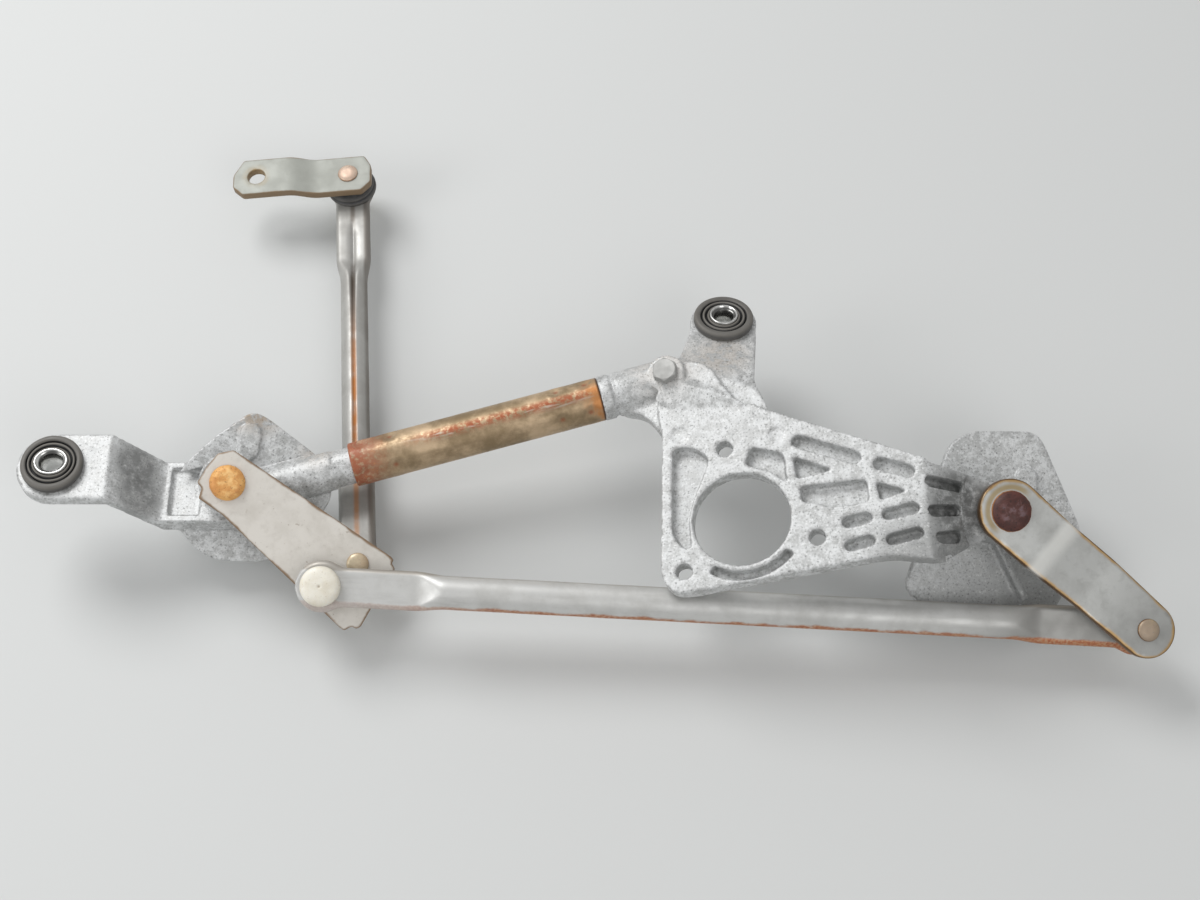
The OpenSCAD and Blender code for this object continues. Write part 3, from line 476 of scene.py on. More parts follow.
# Patches of painted shade on the slope of the stepped arm.
left_housing_painted_shade = [((-198, -48, 44), 6, 14, 0.85), ((-197, -62, 41), 6, 14, 0.8)]
left_pocket = [(-186, -69), (-168, -69), (-168, -43), (-186, -43)]
left_pocket_floor = (28.0, 32.6)

housing_added = bmesh.new()
add_prism(housing_added, left_pocket, *left_pocket_floor, Matrix())
left_housing_mesh = softened("left_housing", left_housing_keep, [("UNION", housing_added)])
left_housing_skin = cast_finish("cast_left_housing", left_housing_stains, left_housing_painted_shade)
link_piece("left_housing_casting", left_housing_mesh, left_housing_skin, "frame", "left_housing")


# Frame tube. A steel tube pressed over the stubs of the two castings and crimped with four rows of dimples.
# Its yellow zinc has gone olive, with red rust at the left end, in the dimples and along a rubbed line.
tube_start = left_pivot + Vector((51.7, 17, -15))
tube_stop = plate_centre + Vector((-59.8, 65.4, -11))
tube_outer = 9.8
tube_wall = 1.5
tube_broken_edge = 0.4
tube_edge_drop = 0.35
tube_around = 120
tube_stations = 150
dimple_rows = (60, 150, 240, 330)
dimple_steps = (6, 19)
dimple_depth = 0.9
dimple_reach = 2.5
dimple_rim = 0.12
olive_pale = (0.57, 0.425, 0.275, 1)
olive_dark = (0.27, 0.195, 0.11, 1)
rust_red = (0.33, 0.10, 0.045, 1)
rust_orange = (0.50, 0.22, 0.075, 1)
rust_dark = (0.07, 0.032, 0.02, 1)
rubbed_pale = (0.62, 0.57, 0.50, 1)


def make_mesh(name, points, faces, seat):
    """Mesh from points in mm in a piece's own frame, set in its place."""
    mesh = bpy.data.meshes.new(name)
    mesh.from_pydata([seat @ (Vector(point) * MM) for point in points], [], faces)
    shell = bmesh.new()
    shell.from_mesh(mesh)
    bmesh.ops.recalc_face_normals(shell, faces=shell.faces)
    settle(shell, mesh)
    mesh.shade_smooth()
    return mesh


def around(count):
    """Angles of count points round a circle."""
    return [2 * math.pi * k / count for k in range(count)]


def ring_faces(rows, count, closed_rows=False):
    """Quads between rows of count points, each row closed on itself."""
    pairs = [(row, row + 1) for row in range(rows - 1)]
    if closed_rows:
        pairs.append((rows - 1, 0))
    return [(low * count + k, low * count + (k + 1) % count, high * count + (k + 1) % count, high * count + k)
            for low, high in pairs for k in range(count)]


tube_run = tube_stop - tube_start
tube_length = tube_run.length
tube_seat = place(tube_start, (0, math.degrees(math.acos(tube_run.z / tube_length)),
                               math.degrees(math.atan2(tube_run.y, tube_run.x))))
tube_marks = [(math.radians(row), along)
              for row in dimple_rows for step in dimple_steps for along in (step, tube_length - step)]


def tube_radius(angle, along, lip):
    """Outer radius, with the crimp's dimples and their raised rims."""
    radius = tube_outer + lip
    for mark_angle, mark_along in tube_marks:
        turn = (angle - mark_angle + math.pi) % (2 * math.pi) - math.pi
        distance = math.hypot(turn * tube_outer, along - mark_along)
        if distance < 4 * dimple_reach:
            radius -= dimple_depth * math.exp(-((distance / dimple_reach) ** 2))
            radius += dimple_rim * math.exp(-(((distance - 1.7 * dimple_reach) / 1.2) ** 2))
    return radius + 0.05 * noise.noise(Vector((along * 0.15, math.cos(angle) * 2, math.sin(angle) * 2)))


def tube_finish():
    skin = Finish("olive_zinc_tube", olive_dark, 0.42, 0.55)
    own = skin.at(tube_seat)
    along, side, back = (skin.part(own, axis) for axis in "ZXY")
    cloud = skin.grain(60, 6, 0.65)
    fine = skin.grain(420, 5, 0.7)
    streak = skin.grain(240, 4, 0.6, (1.0, 1.0, 0.12), own)
    skin.coat(olive_pale, skin.span(cloud, 0.35, 0.65))
    skin.coat(olive_dark, skin.span(streak, 0.55, 0.75, 0, 0.5))
    left_end = skin.span(skin.plus(along, skin.times(cloud, 0.03)), 0.016, 0.036, 1, 0)
    skin.coat(rust_red, left_end, skin.span(fine, 0.30, 0.52))
    skin.coat(rust_orange, left_end, skin.span(fine, 0.56, 0.7))
    rub_line = skin.times(skin.span(back, -0.0052, -0.0010), skin.span(back, 0.0025, -0.0010))
    rub_line = skin.times(rub_line, skin.span(side, -0.004, -0.0075))
    rub_line = skin.times(rub_line, skin.span(along, 0.018, 0.045))
    skin.coat(rust_red, rub_line, skin.span(fine, 0.36, 0.56))
    skin.coat(rubbed_pale, rub_line, skin.span(streak, 0.56, 0.66))
    right_end = skin.span(along, (tube_length - 12) * MM, (tube_length - 2) * MM)
    skin.coat(rust_orange, right_end, skin.span(cloud, 0.42, 0.6))
    edge = skin.span(along, (tube_length - 1.2) * MM, (tube_length - 0.2) * MM)
    skin.coat(rust_dark, edge, 0.9)
    skin.coat(rust_red, skin.corner(0.497, 0.47))
    skin.set("Roughness", skin.span(fine, 0.3, 0.7, 0.34, 0.6))
    skin.set("Metallic", skin.span(left_end, 0.2, 0.8, 0.6, 0.1))
    skin.bump(skin.plus(fine, skin.times(left_end, fine)), 0.06)
    return skin.material


tube_spots = [(0.0, -tube_edge_drop)]
tube_spots += [(tube_broken_edge + (tube_length - 2 * tube_broken_edge) * k / tube_stations, 0.0)
               for k in range(tube_stations + 1)]
tube_spots += [(tube_length, -tube_edge_drop)]
tube_rows = [(along, [tube_radius(angle, along, lip) for angle in around(tube_around)])
             for along, lip in tube_spots]
tube_rows += [(along, [tube_outer - tube_wall] * tube_around) for along in (tube_length, 0.0)]
tube_points = [(radius * math.cos(angle), radius * math.sin(angle), along)
               for along, radii in tube_rows for radius, angle in zip(radii, around(tube_around))]
tube_mesh = make_mesh("frame_tube", tube_points, ring_faces(len(tube_rows), tube_around, True), tube_seat)
link_piece("frame_tube_crimped", tube_mesh, tube_finish(), "frame", "frame_tube")


# Grommets. Two moulded rubber grommets buttoned into the cast eyes, with round ridges on both faces.
# The left one is drawn out sideways to suit its oblong collar.
left_eye_seat = place(left_pivot + Vector((-75.8, 6.7, 3)), (0, 0, 0))
ear_seat = place(plate_centre + Vector((-4.1, 103.8, -7)), (-15, 0, 0))
grommet_top = [
    (6.45, 3.2), (6.6, 3.75), (7.0, 3.95), (7.35, 3.75), (7.5, 3.1), (7.6, 2.4), (8.0, 2.2), (8.35, 2.5),
    (8.5, 3.3), (8.7, 3.8), (9.15, 3.95), (9.5, 3.75), (9.65, 3.1), (9.75, 2.4), (10.1, 2.2), (10.4, 2.5),
    (10.5, 3.3), (10.7, 3.75), (11.2, 3.95), (12.4, 3.95), (13.1, 3.6), (13.45, 2.9), (13.5, 2.0),
    (13.48, 1.0), (13.3, 0.3), (12.9, 0.02), (9.97, 0.02), (9.97, -3.0),
]
grommet_height = 6.0
rubber_dark = (0.018, 0.018, 0.019, 1)
rubber_grey = (0.085, 0.086, 0.088, 1)
rubber_dust = (0.17, 0.158, 0.138, 1)
rubber_shade = (0.006, 0.006, 0.006, 1)


def turned(name, profile, seat, count=72, closed=False, stretch=None, pits=0.0):
    """Turned piece from a profile of (radius, height) in mm. Ends on the axis are closed with a point."""
    rings = [row for row in profile if row[0] > 0]
    points = []
    for radius, height in rings:
        for angle in around(count):
            x, y = radius * math.cos(angle), radius * math.sin(angle)
            if stretch:
                x *= 1 + stretch(radius)
            lift = pits * noise.noise(Vector((x, y, height)) * 0.9) if pits else 0.0
            grow = 1 + lift / max(radius, 2.0)
            points.append((x * grow, y * grow, height + lift))
    faces = ring_faces(len(rings), count, closed)
    for end, row in ((0, 0), (-1, len(rings) - 1)):
        if profile[end][0] == 0:
            tip = len(points)
            points.append((0, 0, profile[end][1]))
            faces += [(row * count + k, row * count + (k + 1) % count, tip) for k in range(count)]
    return make_mesh(name, points, faces, seat)


def rubber_finish(name, dust):
    """Moulded rubber, greyed on the faces that are handled."""
    skin = Finish(name, rubber_dark, 0.6, 0.0)
    cloud = skin.grain(120, 5, 0.65)
    fine = skin.grain(1400, 3, 0.7)
    skin.coat(rubber_grey, skin.span(cloud, 0.3, 0.7))
    skin.coat(rubber_dust, skin.corner(0.50, 0.56), dust)
    skin.coat(rubber_shade, skin.corner(0.485, 0.44), 0.9)
    skin.coat(rubber_dust, skin.span(fine, 0.62, 0.78, 0, 0.5))
    skin.set("Roughness", skin.span(cloud, 0.3, 0.7, 0.42, 0.68))
    skin.bump(fine, 0.03)
    return skin.material


def oblong(radius):
    """Sideways share by which the left grommet and collar are drawn out."""
    return 0.16 * min(1.0, max(0.0, (12.2 - radius) / 5.8))


grommet_rubber = rubber_finish("grommet_rubber", 0.8)
grommet_ring = grommet_top + [(radius, -grommet_height - height)
                              for radius, height in reversed(grommet_top[:-1])]
for grommet_name, grommet_seat, grommet_stretch in (
        ("left_grommet", left_eye_seat, oblong), ("mid_grommet", ear_seat, None)):
    grommet_mesh = turned(grommet_name, grommet_ring, grommet_seat, 96, True, grommet_stretch)
    link_piece(grommet_name + "_ridged", grommet_mesh, grommet_rubber, "frame", grommet_name)


# Collars. Zinc plated steel sleeves pressed through the grommets, with a thin lip round the upper mouth
# and a broken edge below. The inside of the mouth is darkened with painted shade.
collar_ring = [
    (4.35, 3.3), (4.6, 3.5), (5.3, 3.6), (5.5, 4.65), (5.7, 4.8), (6.1, 4.8), (6.35, 4.5), (6.4, 3.4),
    (6.4, -9.4), (6.35, -10.45), (5.9, -10.8), (4.75, -10.8), (4.35, -10.55), (4.3, -3.0),
]
collar_mouth = (0, 0, 3.0)
zinc_bright = (0.72, 0.72, 0.70, 1)
zinc_dull = (0.36, 0.36, 0.35, 1)
mouth_painted_shade = (0.10, 0.10, 0.095, 1)


def metal_finish(name, pale, dull, rough, metal, streak=(1, 1, 1), seat=None):
    """Bare or plated metal with clouds, fine specks and a drawn grain, which later coats may read."""
    skin = Finish(name, pale, rough, metal)
    skin.own = skin.at(seat) if seat else skin.where
    skin.cloud = skin.grain(70, 5, 0.6)
    skin.fine = skin.grain(900, 4, 0.7)
    line = skin.grain(260, 4, 0.6, streak, skin.own)
    skin.coat(dull, skin.span(skin.cloud, 0.38, 0.7, 0, 0.5))
    skin.coat(dull, skin.span(line, 0.5, 0.72, 0, 0.35))
    skin.coat(dull, skin.span(skin.fine, 0.62, 0.74, 0, 0.6))
    skin.set("Roughness", skin.span(skin.cloud, 0.3, 0.7, rough - 0.07, rough + 0.12))
    skin.bump(skin.plus(skin.times(skin.fine, 0.5), skin.times(line, 0.5)), 0.02)
    return skin


collar_skin = metal_finish("collar_zinc", zinc_bright, zinc_dull, 0.26, 0.95)
for collar_name, collar_seat, collar_stretch in (
        ("left_collar", left_eye_seat, oblong), ("mid_collar", ear_seat, None)):
    mouth_point = collar_seat @ (Vector(collar_mouth) * MM) / MM
    # Painted shade inside the mouth of each collar.
    collar_skin.coat(mouth_painted_shade, collar_skin.near(mouth_point, 5.3, 5.8), 0.9)
    collar_mesh = turned(collar_name, collar_ring, collar_seat, 72, True, collar_stretch)
    link_piece(collar_name + "_sleeve", collar_mesh, collar_skin.material, "frame", collar_name)


# Elbow bolt. A hexagon head bolt with a turned chamfer that closes the cast elbow. It has dulled
# to the grey of the casting.
bolt_seat = shifted(plate_seat, (-30, 71.4, 2.5))
bolt_across = 10.0
bolt_crown = 4.8
bolt_steps = (0.0, 1.6, 3.0, 3.2, 3.4, 3.6, 3.8)
bolt_shank = 3.0
bolt_length = 12.0
bolt_around = 72
bolt_pale = (0.46, 0.46, 0.445, 1)
bolt_dull = (0.27, 0.27, 0.26, 1)


def bolt_radius(angle, height):
    """Reach of the hexagon, with its corners turned off by a 30 degree cone."""
    flat = bolt_across / 2 / math.cos((angle + math.pi / 6) % (math.pi / 3) - math.pi / 6)
    return min(flat, bolt_crown + (bolt_steps[-1] - height) * math.sqrt(3))


bolt_rows = [(height, [bolt_radius(angle, height) for angle in around(bolt_around)])
             for height in bolt_steps[::-1]]
bolt_rows += [(height, [bolt_shank] * bolt_around) for height in (0.0, -bolt_length)]
bolt_points = [(radius * math.cos(angle), radius * math.sin(angle), height)
               for height, radii in bolt_rows for radius, angle in zip(radii, around(bolt_around))]
bolt_faces = ring_faces(len(bolt_rows), bolt_around)
bolt_faces += [tuple(row * bolt_around + k for k in range(bolt_around)) for row in (0, len(bolt_rows) - 1)]
bolt_mesh = make_mesh("elbow_bolt", bolt_points, bolt_faces, bolt_seat)
bolt_mesh.set_sharp_from_angle(angle=math.radians(22))
bolt_skin = metal_finish("bolt_zinc", bolt_pale, bolt_dull, 0.5, 0.45)
# Painted shade in the bolt's corners, found by pointiness.
bolt_skin.coat(cast_hollow_shade, bolt_skin.corner(0.49, 0.43))
link_piece("elbow_bolt_hex", bolt_mesh, bolt_skin.material, "frame", "elbow_bolt")


# Bushes, washers and rings. Sintered bushes pressed into both bosses, plain steel washers above and below,
# and an open spring ring on each shaft. They keep the solids' own shape.
bush_tones = ((0.42, 0.27, 0.12, 1), (0.20, 0.12, 0.05, 1))
washer_tones = ((0.55, 0.54, 0.52, 1), (0.26, 0.25, 0.23, 1))
ring_tones = ((0.20, 0.19, 0.18, 1), (0.07, 0.065, 0.06, 1))
bush_skin = metal_finish("bush_bronze", *bush_tones, 0.45, 0.8)
washer_skin = metal_finish("washer_steel", *washer_tones, 0.38, 0.85)
washer_skin.coat(rust_red, washer_skin.span(washer_skin.cloud, 0.55, 0.7, 0, 0.6))
ring_skin = metal_finish("ring_spring_steel", *ring_tones, 0.4, 0.8)
for node_end, node_skin in (("_upper_bush", bush_skin), ("_lower_bush", bush_skin), ("_ring", ring_skin),
                            ("_thrust_washer", washer_skin), ("_lower_washer", washer_skin)):
    for node_side in ("left", "right"):
        plain_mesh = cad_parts[node_side + node_end].data
        plain_mesh.materials.clear()
        plain_mesh.materials.append(node_skin.material)


# Pivot shafts. Each steel shaft is riveted over its lever, runs in the two bushes and ends in a splined
# and threaded seat for a wiper arm. The left head is orange with rust, the right one dark red.
shaft_radius = 6.0
seat_radius = 5.52
tooth_depth = 0.55
seat_root = seat_radius - tooth_depth
seat_length = 9.0
tooth_count = 24
tooth_width = 0.75
thread_radius = 4.0
thread_core = thread_radius - 0.45
thread_length = 11.0
thread_turns = 8
thread_ridge = 0.5
shaft_pits = 0.16
shaft_steel = (0.40, 0.39, 0.37, 1)
shaft_stain = (0.19, 0.17, 0.15, 1)
left_head_shape = [
    (0, 3.15), (2.2, 3.2), (4.2, 3.15), (5.6, 2.9), (6.7, 2.35), (7.4, 1.6), (7.75, 0.8), (7.7, 0.0)]
right_head_shape = [
    (0, 3.4), (1.8, 3.33), (3.6, 3.1), (5.3, 2.65), (6.8, 2.0), (8.0, 1.2), (8.7, 0.5), (8.8, 0.0)]
# Each head's tones are crown, body, pits and a painted highlight for the top of its dome.
shaft_list = [
    ("left_shaft", left_seat, 53.0, left_head_shape, "left_lever", "left_head",
     ((0.82, 0.46, 0.15, 1), (0.62, 0.28, 0.08, 1), (0.22, 0.09, 0.03, 1), (0.90, 0.60, 0.27, 1))),
    ("right_shaft", right_seat, 66.045, right_head_shape, "right_lever", "right_head",
     ((0.11, 0.035, 0.027, 1), (0.06, 0.02, 0.016, 1), (0.018, 0.010, 0.010, 1), (0.20, 0.14, 0.155, 1))),
]


def arm_seat_tree():
    """Teeth round the splined seat and the ridge of the thread, on the shaft's own axis, in metres."""
    tree = bpy.data.node_groups.new("arm_seat", "GeometryNodeTree")
    for socket_name, socket_kind in (
            ("Teeth", "Int"), ("Seat Radius", "Float"), ("Tooth Size", "Vector"), ("Seat Height", "Vector"),
            ("Thread Radius", "Float"), ("Thread Length", "Float"), ("Turns", "Float"), ("Ridge", "Float"),
            ("Thread Height", "Vector"), ("Finish", "Material")):
        tree.interface.new_socket(socket_name, in_out="INPUT", socket_type="NodeSocket" + socket_kind)
    tree.interface.new_socket("Geometry", in_out="OUTPUT", socket_type="NodeSocketGeometry")
    given = tree.nodes.new("NodeGroupInput").outputs

    def add(kind, inputs, **settings):
        return new_node(tree, kind, inputs, **settings).outputs[0]

    ring = add("GeometryNodeMeshCircle", {"Vertices": given["Teeth"], "Radius": given["Seat Radius"]})
    tooth = add("GeometryNodeMeshCube", {"Size": given["Tooth Size"]})
    tooth = add("GeometryNodeTransform", {"Geometry": tooth, "Rotation": (0, 0, math.radians(45))})
    spot = add("GeometryNodeInputPosition", {})
    aim = add("FunctionNodeAlignEulerToVector", {"Vector": spot}, axis="X", pivot_axis="Z")
    teeth = add("GeometryNodeInstanceOnPoints", {"Points": ring, "Instance": tooth, "Rotation": aim})
    teeth = add("GeometryNodeTransform", {"Geometry": teeth, "Translation": given["Seat Height"]})
    helix = add("GeometryNodeCurveSpiral", {
        "Resolution": 40, "Rotations": given["Turns"], "Start Radius": given["Thread Radius"],
        "End Radius": given["Thread Radius"], "Height": given["Thread Length"]})
    ridge = add("GeometryNodeCurvePrimitiveCircle", {"Resolution": 4, "Radius": given["Ridge"]})
    thread = add("GeometryNodeCurveToMesh", {"Curve": helix, "Profile Curve": ridge, "Fill Caps": True})
    thread = add("GeometryNodeTransform", {"Geometry": thread, "Translation": given["Thread Height"]})
    both = new_node(tree, "GeometryNodeJoinGeometry", {"Geometry": teeth})
    tree.links.new(thread, both.inputs["Geometry"])
    real = add("GeometryNodeRealizeInstances", {"Geometry": both.outputs["Geometry"]})
    coated = add("GeometryNodeSetMaterial", {"Geometry": real, "Material": given["Finish"]})
    new_node(tree, "NodeGroupOutput", {"Geometry": coated})
    return tree


def node_mesh(tree, values):
    """Plain mesh that a node tree makes from its named inputs."""
    maker = put(tree.name + "_maker", bpy.data.meshes.new(tree.name))
    modifier = maker.modifiers.new(tree.name, "NODES")
    modifier.node_group = tree
    for item in tree.interface.items_tree:
        if item.in_out == "INPUT":
            modifier[item.identifier] = values[item.name]
    return made_mesh(maker)


def shaft_finish(name, seat, crown, body_tone, pit, painted_highlight):
    """Rusted rivet head on a plain steel shaft, with a painted highlight on the top of the head."""
    skin = Finish(name, shaft_steel, 0.5, 0.5)
    height = skin.part(skin.at(seat), "Z")
    cloud = skin.grain(190, 5, 0.65)
    fine = skin.grain(900, 4, 0.7)
    rust = skin.mix(skin.span(cloud, 0.34, 0.66), body_tone, crown)
    rust = skin.mix(skin.span(fine, 0.54, 0.7, 0, 0.85), rust, pit)
    # Painted highlight: the top of the head's dome is patched with a lighter tone.
    top = skin.times(skin.span(height, 1.9 * MM, 3.3 * MM), skin.span(cloud, 0.45, 0.65, 0, 0.8))
    rust = skin.mix(top, rust, painted_highlight)
    rust = skin.mix(skin.span(height, 0.9 * MM, 0.1 * MM), rust, rust_orange)
    skin.coat(shaft_stain, skin.span(cloud, 0.35, 0.7))
    skin.coat(rust, skin.span(height, -0.4 * MM, 0.0))
    skin.set("Roughness", skin.span(cloud, 0.3, 0.7, 0.42, 0.68))
    skin.set("Metallic", skin.span(height, -0.4 * MM, 0.0, 0.85, 0.15))
    skin.bump(skin.plus(skin.times(cloud, 0.6), skin.times(fine, 0.4)), 0.18)
    return skin.material


seat_tree = arm_seat_tree()
for shaft_name, shaft_seat, shaft_end, head_shape, shaft_body, shaft_slot, shaft_tones in shaft_list:
    shaft_skin = shaft_finish(shaft_name + "_rusted", shaft_seat, *shaft_tones)
    seat_foot = -shaft_end + thread_length
    seat_top = seat_foot + seat_length
    shaft_profile = head_shape + [
        (shaft_radius, -0.05), (shaft_radius, -2.0), (shaft_radius, seat_top + 0.5),
        (shaft_radius - 0.4, seat_top), (seat_root, seat_top - 0.6), (seat_root, seat_foot + 0.4),
        (thread_core, seat_foot), (thread_core, -shaft_end + 1.2), (thread_radius - 0.9, -shaft_end),
        (0, -shaft_end)]
    shaft_mesh = turned(shaft_name, shaft_profile, shaft_seat, 64, pits=shaft_pits)
    teeth_mesh = node_mesh(seat_tree, {
        "Teeth": tooth_count, "Seat Radius": seat_root * MM,
        "Tooth Size": Vector((tooth_width, tooth_width, seat_length - 1.6)) * MM,
        "Seat Height": Vector((0, 0, seat_foot + seat_length / 2 - 0.1)) * MM,
        "Thread Radius": (thread_radius - 0.5) * MM, "Thread Length": (thread_length - 2.2) * MM,
        "Turns": thread_turns, "Ridge": thread_ridge * MM,
        "Thread Height": Vector((0, 0, -shaft_end + 0.9)) * MM, "Finish": shaft_skin})
    teeth_mesh.transform(shaft_seat)
    shaft_shell = bmesh.new()
    shaft_shell.from_mesh(shaft_mesh)
    shaft_shell.from_mesh(teeth_mesh)
    settle(shaft_shell, shaft_mesh)
    link_piece(shaft_name + "_riveted", shaft_mesh, shaft_skin, shaft_body, shaft_name)


# Levers. Both are stamped from 4 mm plate and plated. The left one is a flat wedge that has gone chalky,
# the right one is joggled, with the yellow layers of its plating showing along the edge.
lever_thickness = 4.0
left_lever_line = [
    (-10.8, -2.9), (-11.9, -7.5), (-1.4, -13.8), (51.9, -59.3), (54.3, -60.9), (57.5, -58.9), (59.6, -59.9),
    (61.4, -58.9), (64.9, -51.7), (74.7, -32.9), (73, -30.5), (73.8, -29), (72.4, -27.5), (1.7, 14.4),
    (-5, 12.5), (-9.4, 6.3), (-12.9, -0.7),
]
left_lever_corner = 0.9
right_lever_big = 13.9
right_lever_small = 12.0
right_lever_length = 76.5
right_lever_turn = -37.5
joggle_start = 22.0
joggle_stop = 46.0
joggle_rise = 5.0
joggle_ease = 4.0
rolled_edge = 0.55
chalk_pale = (0.68, 0.65, 0.60, 1)
chalk_dull = (0.50, 0.47, 0.42, 1)
chalk_speck = (0.20, 0.12, 0.06, 1)
edge_brown = (0.21, 0.125, 0.06, 1)
satin_pale = (0.47, 0.475, 0.46, 1)
satin_dull = (0.30, 0.30, 0.285, 1)
satin_dark = (0.22, 0.22, 0.21, 1)
yellow_layer = (0.46, 0.27, 0.075, 1)
crescent_brown = (0.30, 0.21, 0.075, 1)
bend_painted_highlight = (0.68, 0.68, 0.65, 1)


def spaced_line(points, gap):
    """Closed outline with points about gap apart."""
    line = []
    for k in range(len(points)):
        first, second = points[k], points[(k + 1) % len(points)]
        parts = max(1, round((second - first).length / gap))
        if (second - first).length > 1e-4:
            line += [first.lerp(second, part / parts) for part in range(parts)]
    return line


def inset_line(line, depth):
    """Outline moved inwards along its normals. The outline runs anticlockwise."""
    moved = []
    for k in range(len(line)):
        run = (line[(k + 1) % len(line)] - line[k - 1]).normalized()
        moved.append(line[k] + Vector((-run.y, run.x)) * depth)
    return moved


def inside_line(spot, line):
    inside = False
    for k in range(len(line)):
        first, second = line[k], line[k - 1]
        if (first.y > spot.y) != (second.y > spot.y):
            if spot.x < first.x + (second.x - first.x) * (spot.y - first.y) / (second.y - first.y):
                inside = not inside
    return inside


def edge_gap(spot, line):
    return min((spot - other).length for other in line)


def soft_joggle(along, start, stop, rise, ease):
    """Height of a plate's face along a joggle with rounded bends."""
    def ramp(distance):
        if abs(distance) < ease:
            return (distance + ease) ** 2 / (4 * ease)
        return max(0.0, distance)

    return rise / (stop - start) * (ramp(along - start) - ramp(along - stop))


def stamped(name, outline, thickness, top, seat, lift=None, hole=None, gap=1.3):
    """Stamped plate with rolled edges. Keeps each point's distance from the edge in mm as rim."""
    outer = spaced_line(outline, gap)
    loops = [outer]
    if hole:
        centre, radius = hole
        loops.append([centre + Vector((radius * math.cos(-turn), radius * math.sin(-turn)))
                      for turn in around(40)])
    edge_rows = [(rolled_edge, -thickness), (rolled_edge * 0.3, -thickness + rolled_edge * 0.3),
                 (0.0, -thickness + rolled_edge), (0.0, -thickness / 2), (0.0, -rolled_edge),
                 (rolled_edge * 0.3, -rolled_edge * 0.3), (rolled_edge, 0.0)]
    points, faces, rims, flat, edges, starts = [], [], [], [], [], []
    for line in loops:
        count, start, flat_start = len(line), len(points), len(flat)
        for depth, height in edge_rows:
            points += [(spot.x, spot.y, height) for spot in inset_line(line, depth)]
            rims += [depth] * count
        faces += [tuple(start + index for index in face) for face in ring_faces(len(edge_rows), count)]
        flat += inset_line(line, rolled_edge)
        edges += [(flat_start + k, flat_start + (k + 1) % count) for k in range(count)]
        starts.append((start, count))
    border = len(flat)
    every_line = [spot for line in loops for spot in line]
    low_x, high_x = min(spot.x for spot in outer), max(spot.x for spot in outer)
    low_y, high_y = min(spot.y for spot in outer), max(spot.y for spot in outer)
    for column in range(int((high_x - low_x) / gap)):
        for row in range(int((high_y - low_y) / gap)):
            spot = Vector((low_x + gap * (column + 0.5 * (row % 2)), low_y + gap * row))
            if inside_line(spot, outer) and (not hole or (spot - centre).length > radius + 1.2):
                if edge_gap(spot, every_line) > rolled_edge + 0.5 * gap:
                    flat.append(spot)
    flat_points, _, flat_faces, *_ = geometry.delaunay_2d_cdt(flat, edges, [], 1, 1e-5)
    if hole:
        rim_reach = (radius + rolled_edge) * 0.995
        flat_faces = [face for face in flat_faces if rim_reach < (
            sum((flat_points[k] for k in face), Vector((0, 0))) / len(face) - centre).length]
    for row, height in ((len(edge_rows) - 1, 0.0), (0, -thickness)):
        corners = [start + row * count + k for start, count in starts for k in range(count)]
        for spot in flat_points[border:]:
            corners.append(len(points))
            points.append((spot.x, spot.y, height))
            rims.append(edge_gap(spot, every_line))
        faces += [tuple(corners[k] for k in (face if row else reversed(face))) for face in flat_faces]
    placed = [(x, y, z + top + (lift(x, y) if lift else 0.0)) for x, y, z in points]
    mesh = make_mesh(name, placed, faces, seat)
    mesh.attributes.new("rim", "FLOAT", "POINT").data.foreach_set("value", rims)
    return mesh


def edge_share(skin, reach, spread):
    """Share of the edge wear, ragged with the finish's own clouds. Reach and spread are in mm."""
    rim = skin.node("Attribute", {}, attribute_name="rim").outputs["Fac"]
    ragged = skin.minus(rim, skin.span(skin.cloud, 0.3, 0.7, 0, spread))
    return skin.span(ragged, reach, -spread * 0.3)


def left_lever_finish():
    skin = metal_finish("chalky_zinc_lever", chalk_pale, chalk_dull, 0.5, 0.2)
    skin.coat(chalk_speck, skin.span(skin.grain(520, 3, 0.6), 0.66, 0.76, 0, 0.5))
    skin.coat(edge_brown, edge_share(skin, 0.8, 0.9), 0.9)
    return skin.material


def right_lever_finish(seat):
    """Satin zinc, darker toward the stud, with a worn crescent by the rivet and a painted highlight along the
    bend.
    """
    skin = metal_finish("satin_zinc_lever", satin_pale, satin_dull, 0.36, 0.6)
    along = skin.part(skin.at(seat), "X")
    head = seat.to_translation() / MM
    skin.coat(satin_dark, skin.span(along, 0.042, 0.082, 0, 0.6))
    skin.coat(yellow_layer, edge_share(skin, 1.1, 1.2), 0.85)
    skin.coat(rust_dark, edge_share(skin, 0.35, 0.5), 0.8)
    crescent = skin.minus(skin.near(head, 10.6, 12.4), skin.near(head, 8.8, 9.8))
    skin.coat(crescent_brown, crescent, skin.span(along, 0.004, -0.003, 0, 0.75))
    # Painted highlight along the first bend of the joggle.
    skin.coat(bend_painted_highlight, skin.span(along, 0.019, 0.023), skin.span(along, 0.030, 0.025, 0, 0.7))
    return skin.material


left_lever_outline = rounded_line(left_lever_line, left_lever_corner)
left_lever_mesh = stamped("left_lever", left_lever_outline, lever_thickness, 0, left_seat)
link_piece("left_lever_plate", left_lever_mesh, left_lever_finish(), "left_lever", "left_lever")

right_lever_seat = right_seat @ Matrix.Rotation(math.radians(right_lever_turn), 4, "Z")
right_lever_outline = (arc_line((0, 0), right_lever_big, 90, 270, 28)
                       + arc_line((right_lever_length, 0), right_lever_small, -90, 90, 26))
right_lever_mesh = stamped(
    "right_lever", right_lever_outline, lever_thickness, 0, right_lever_seat,
    lambda x, y: soft_joggle(x, joggle_start, joggle_stop, joggle_rise, joggle_ease))
link_piece("right_lever_plate", right_lever_mesh, right_lever_finish(right_lever_seat),
           "right_lever", "right_lever")


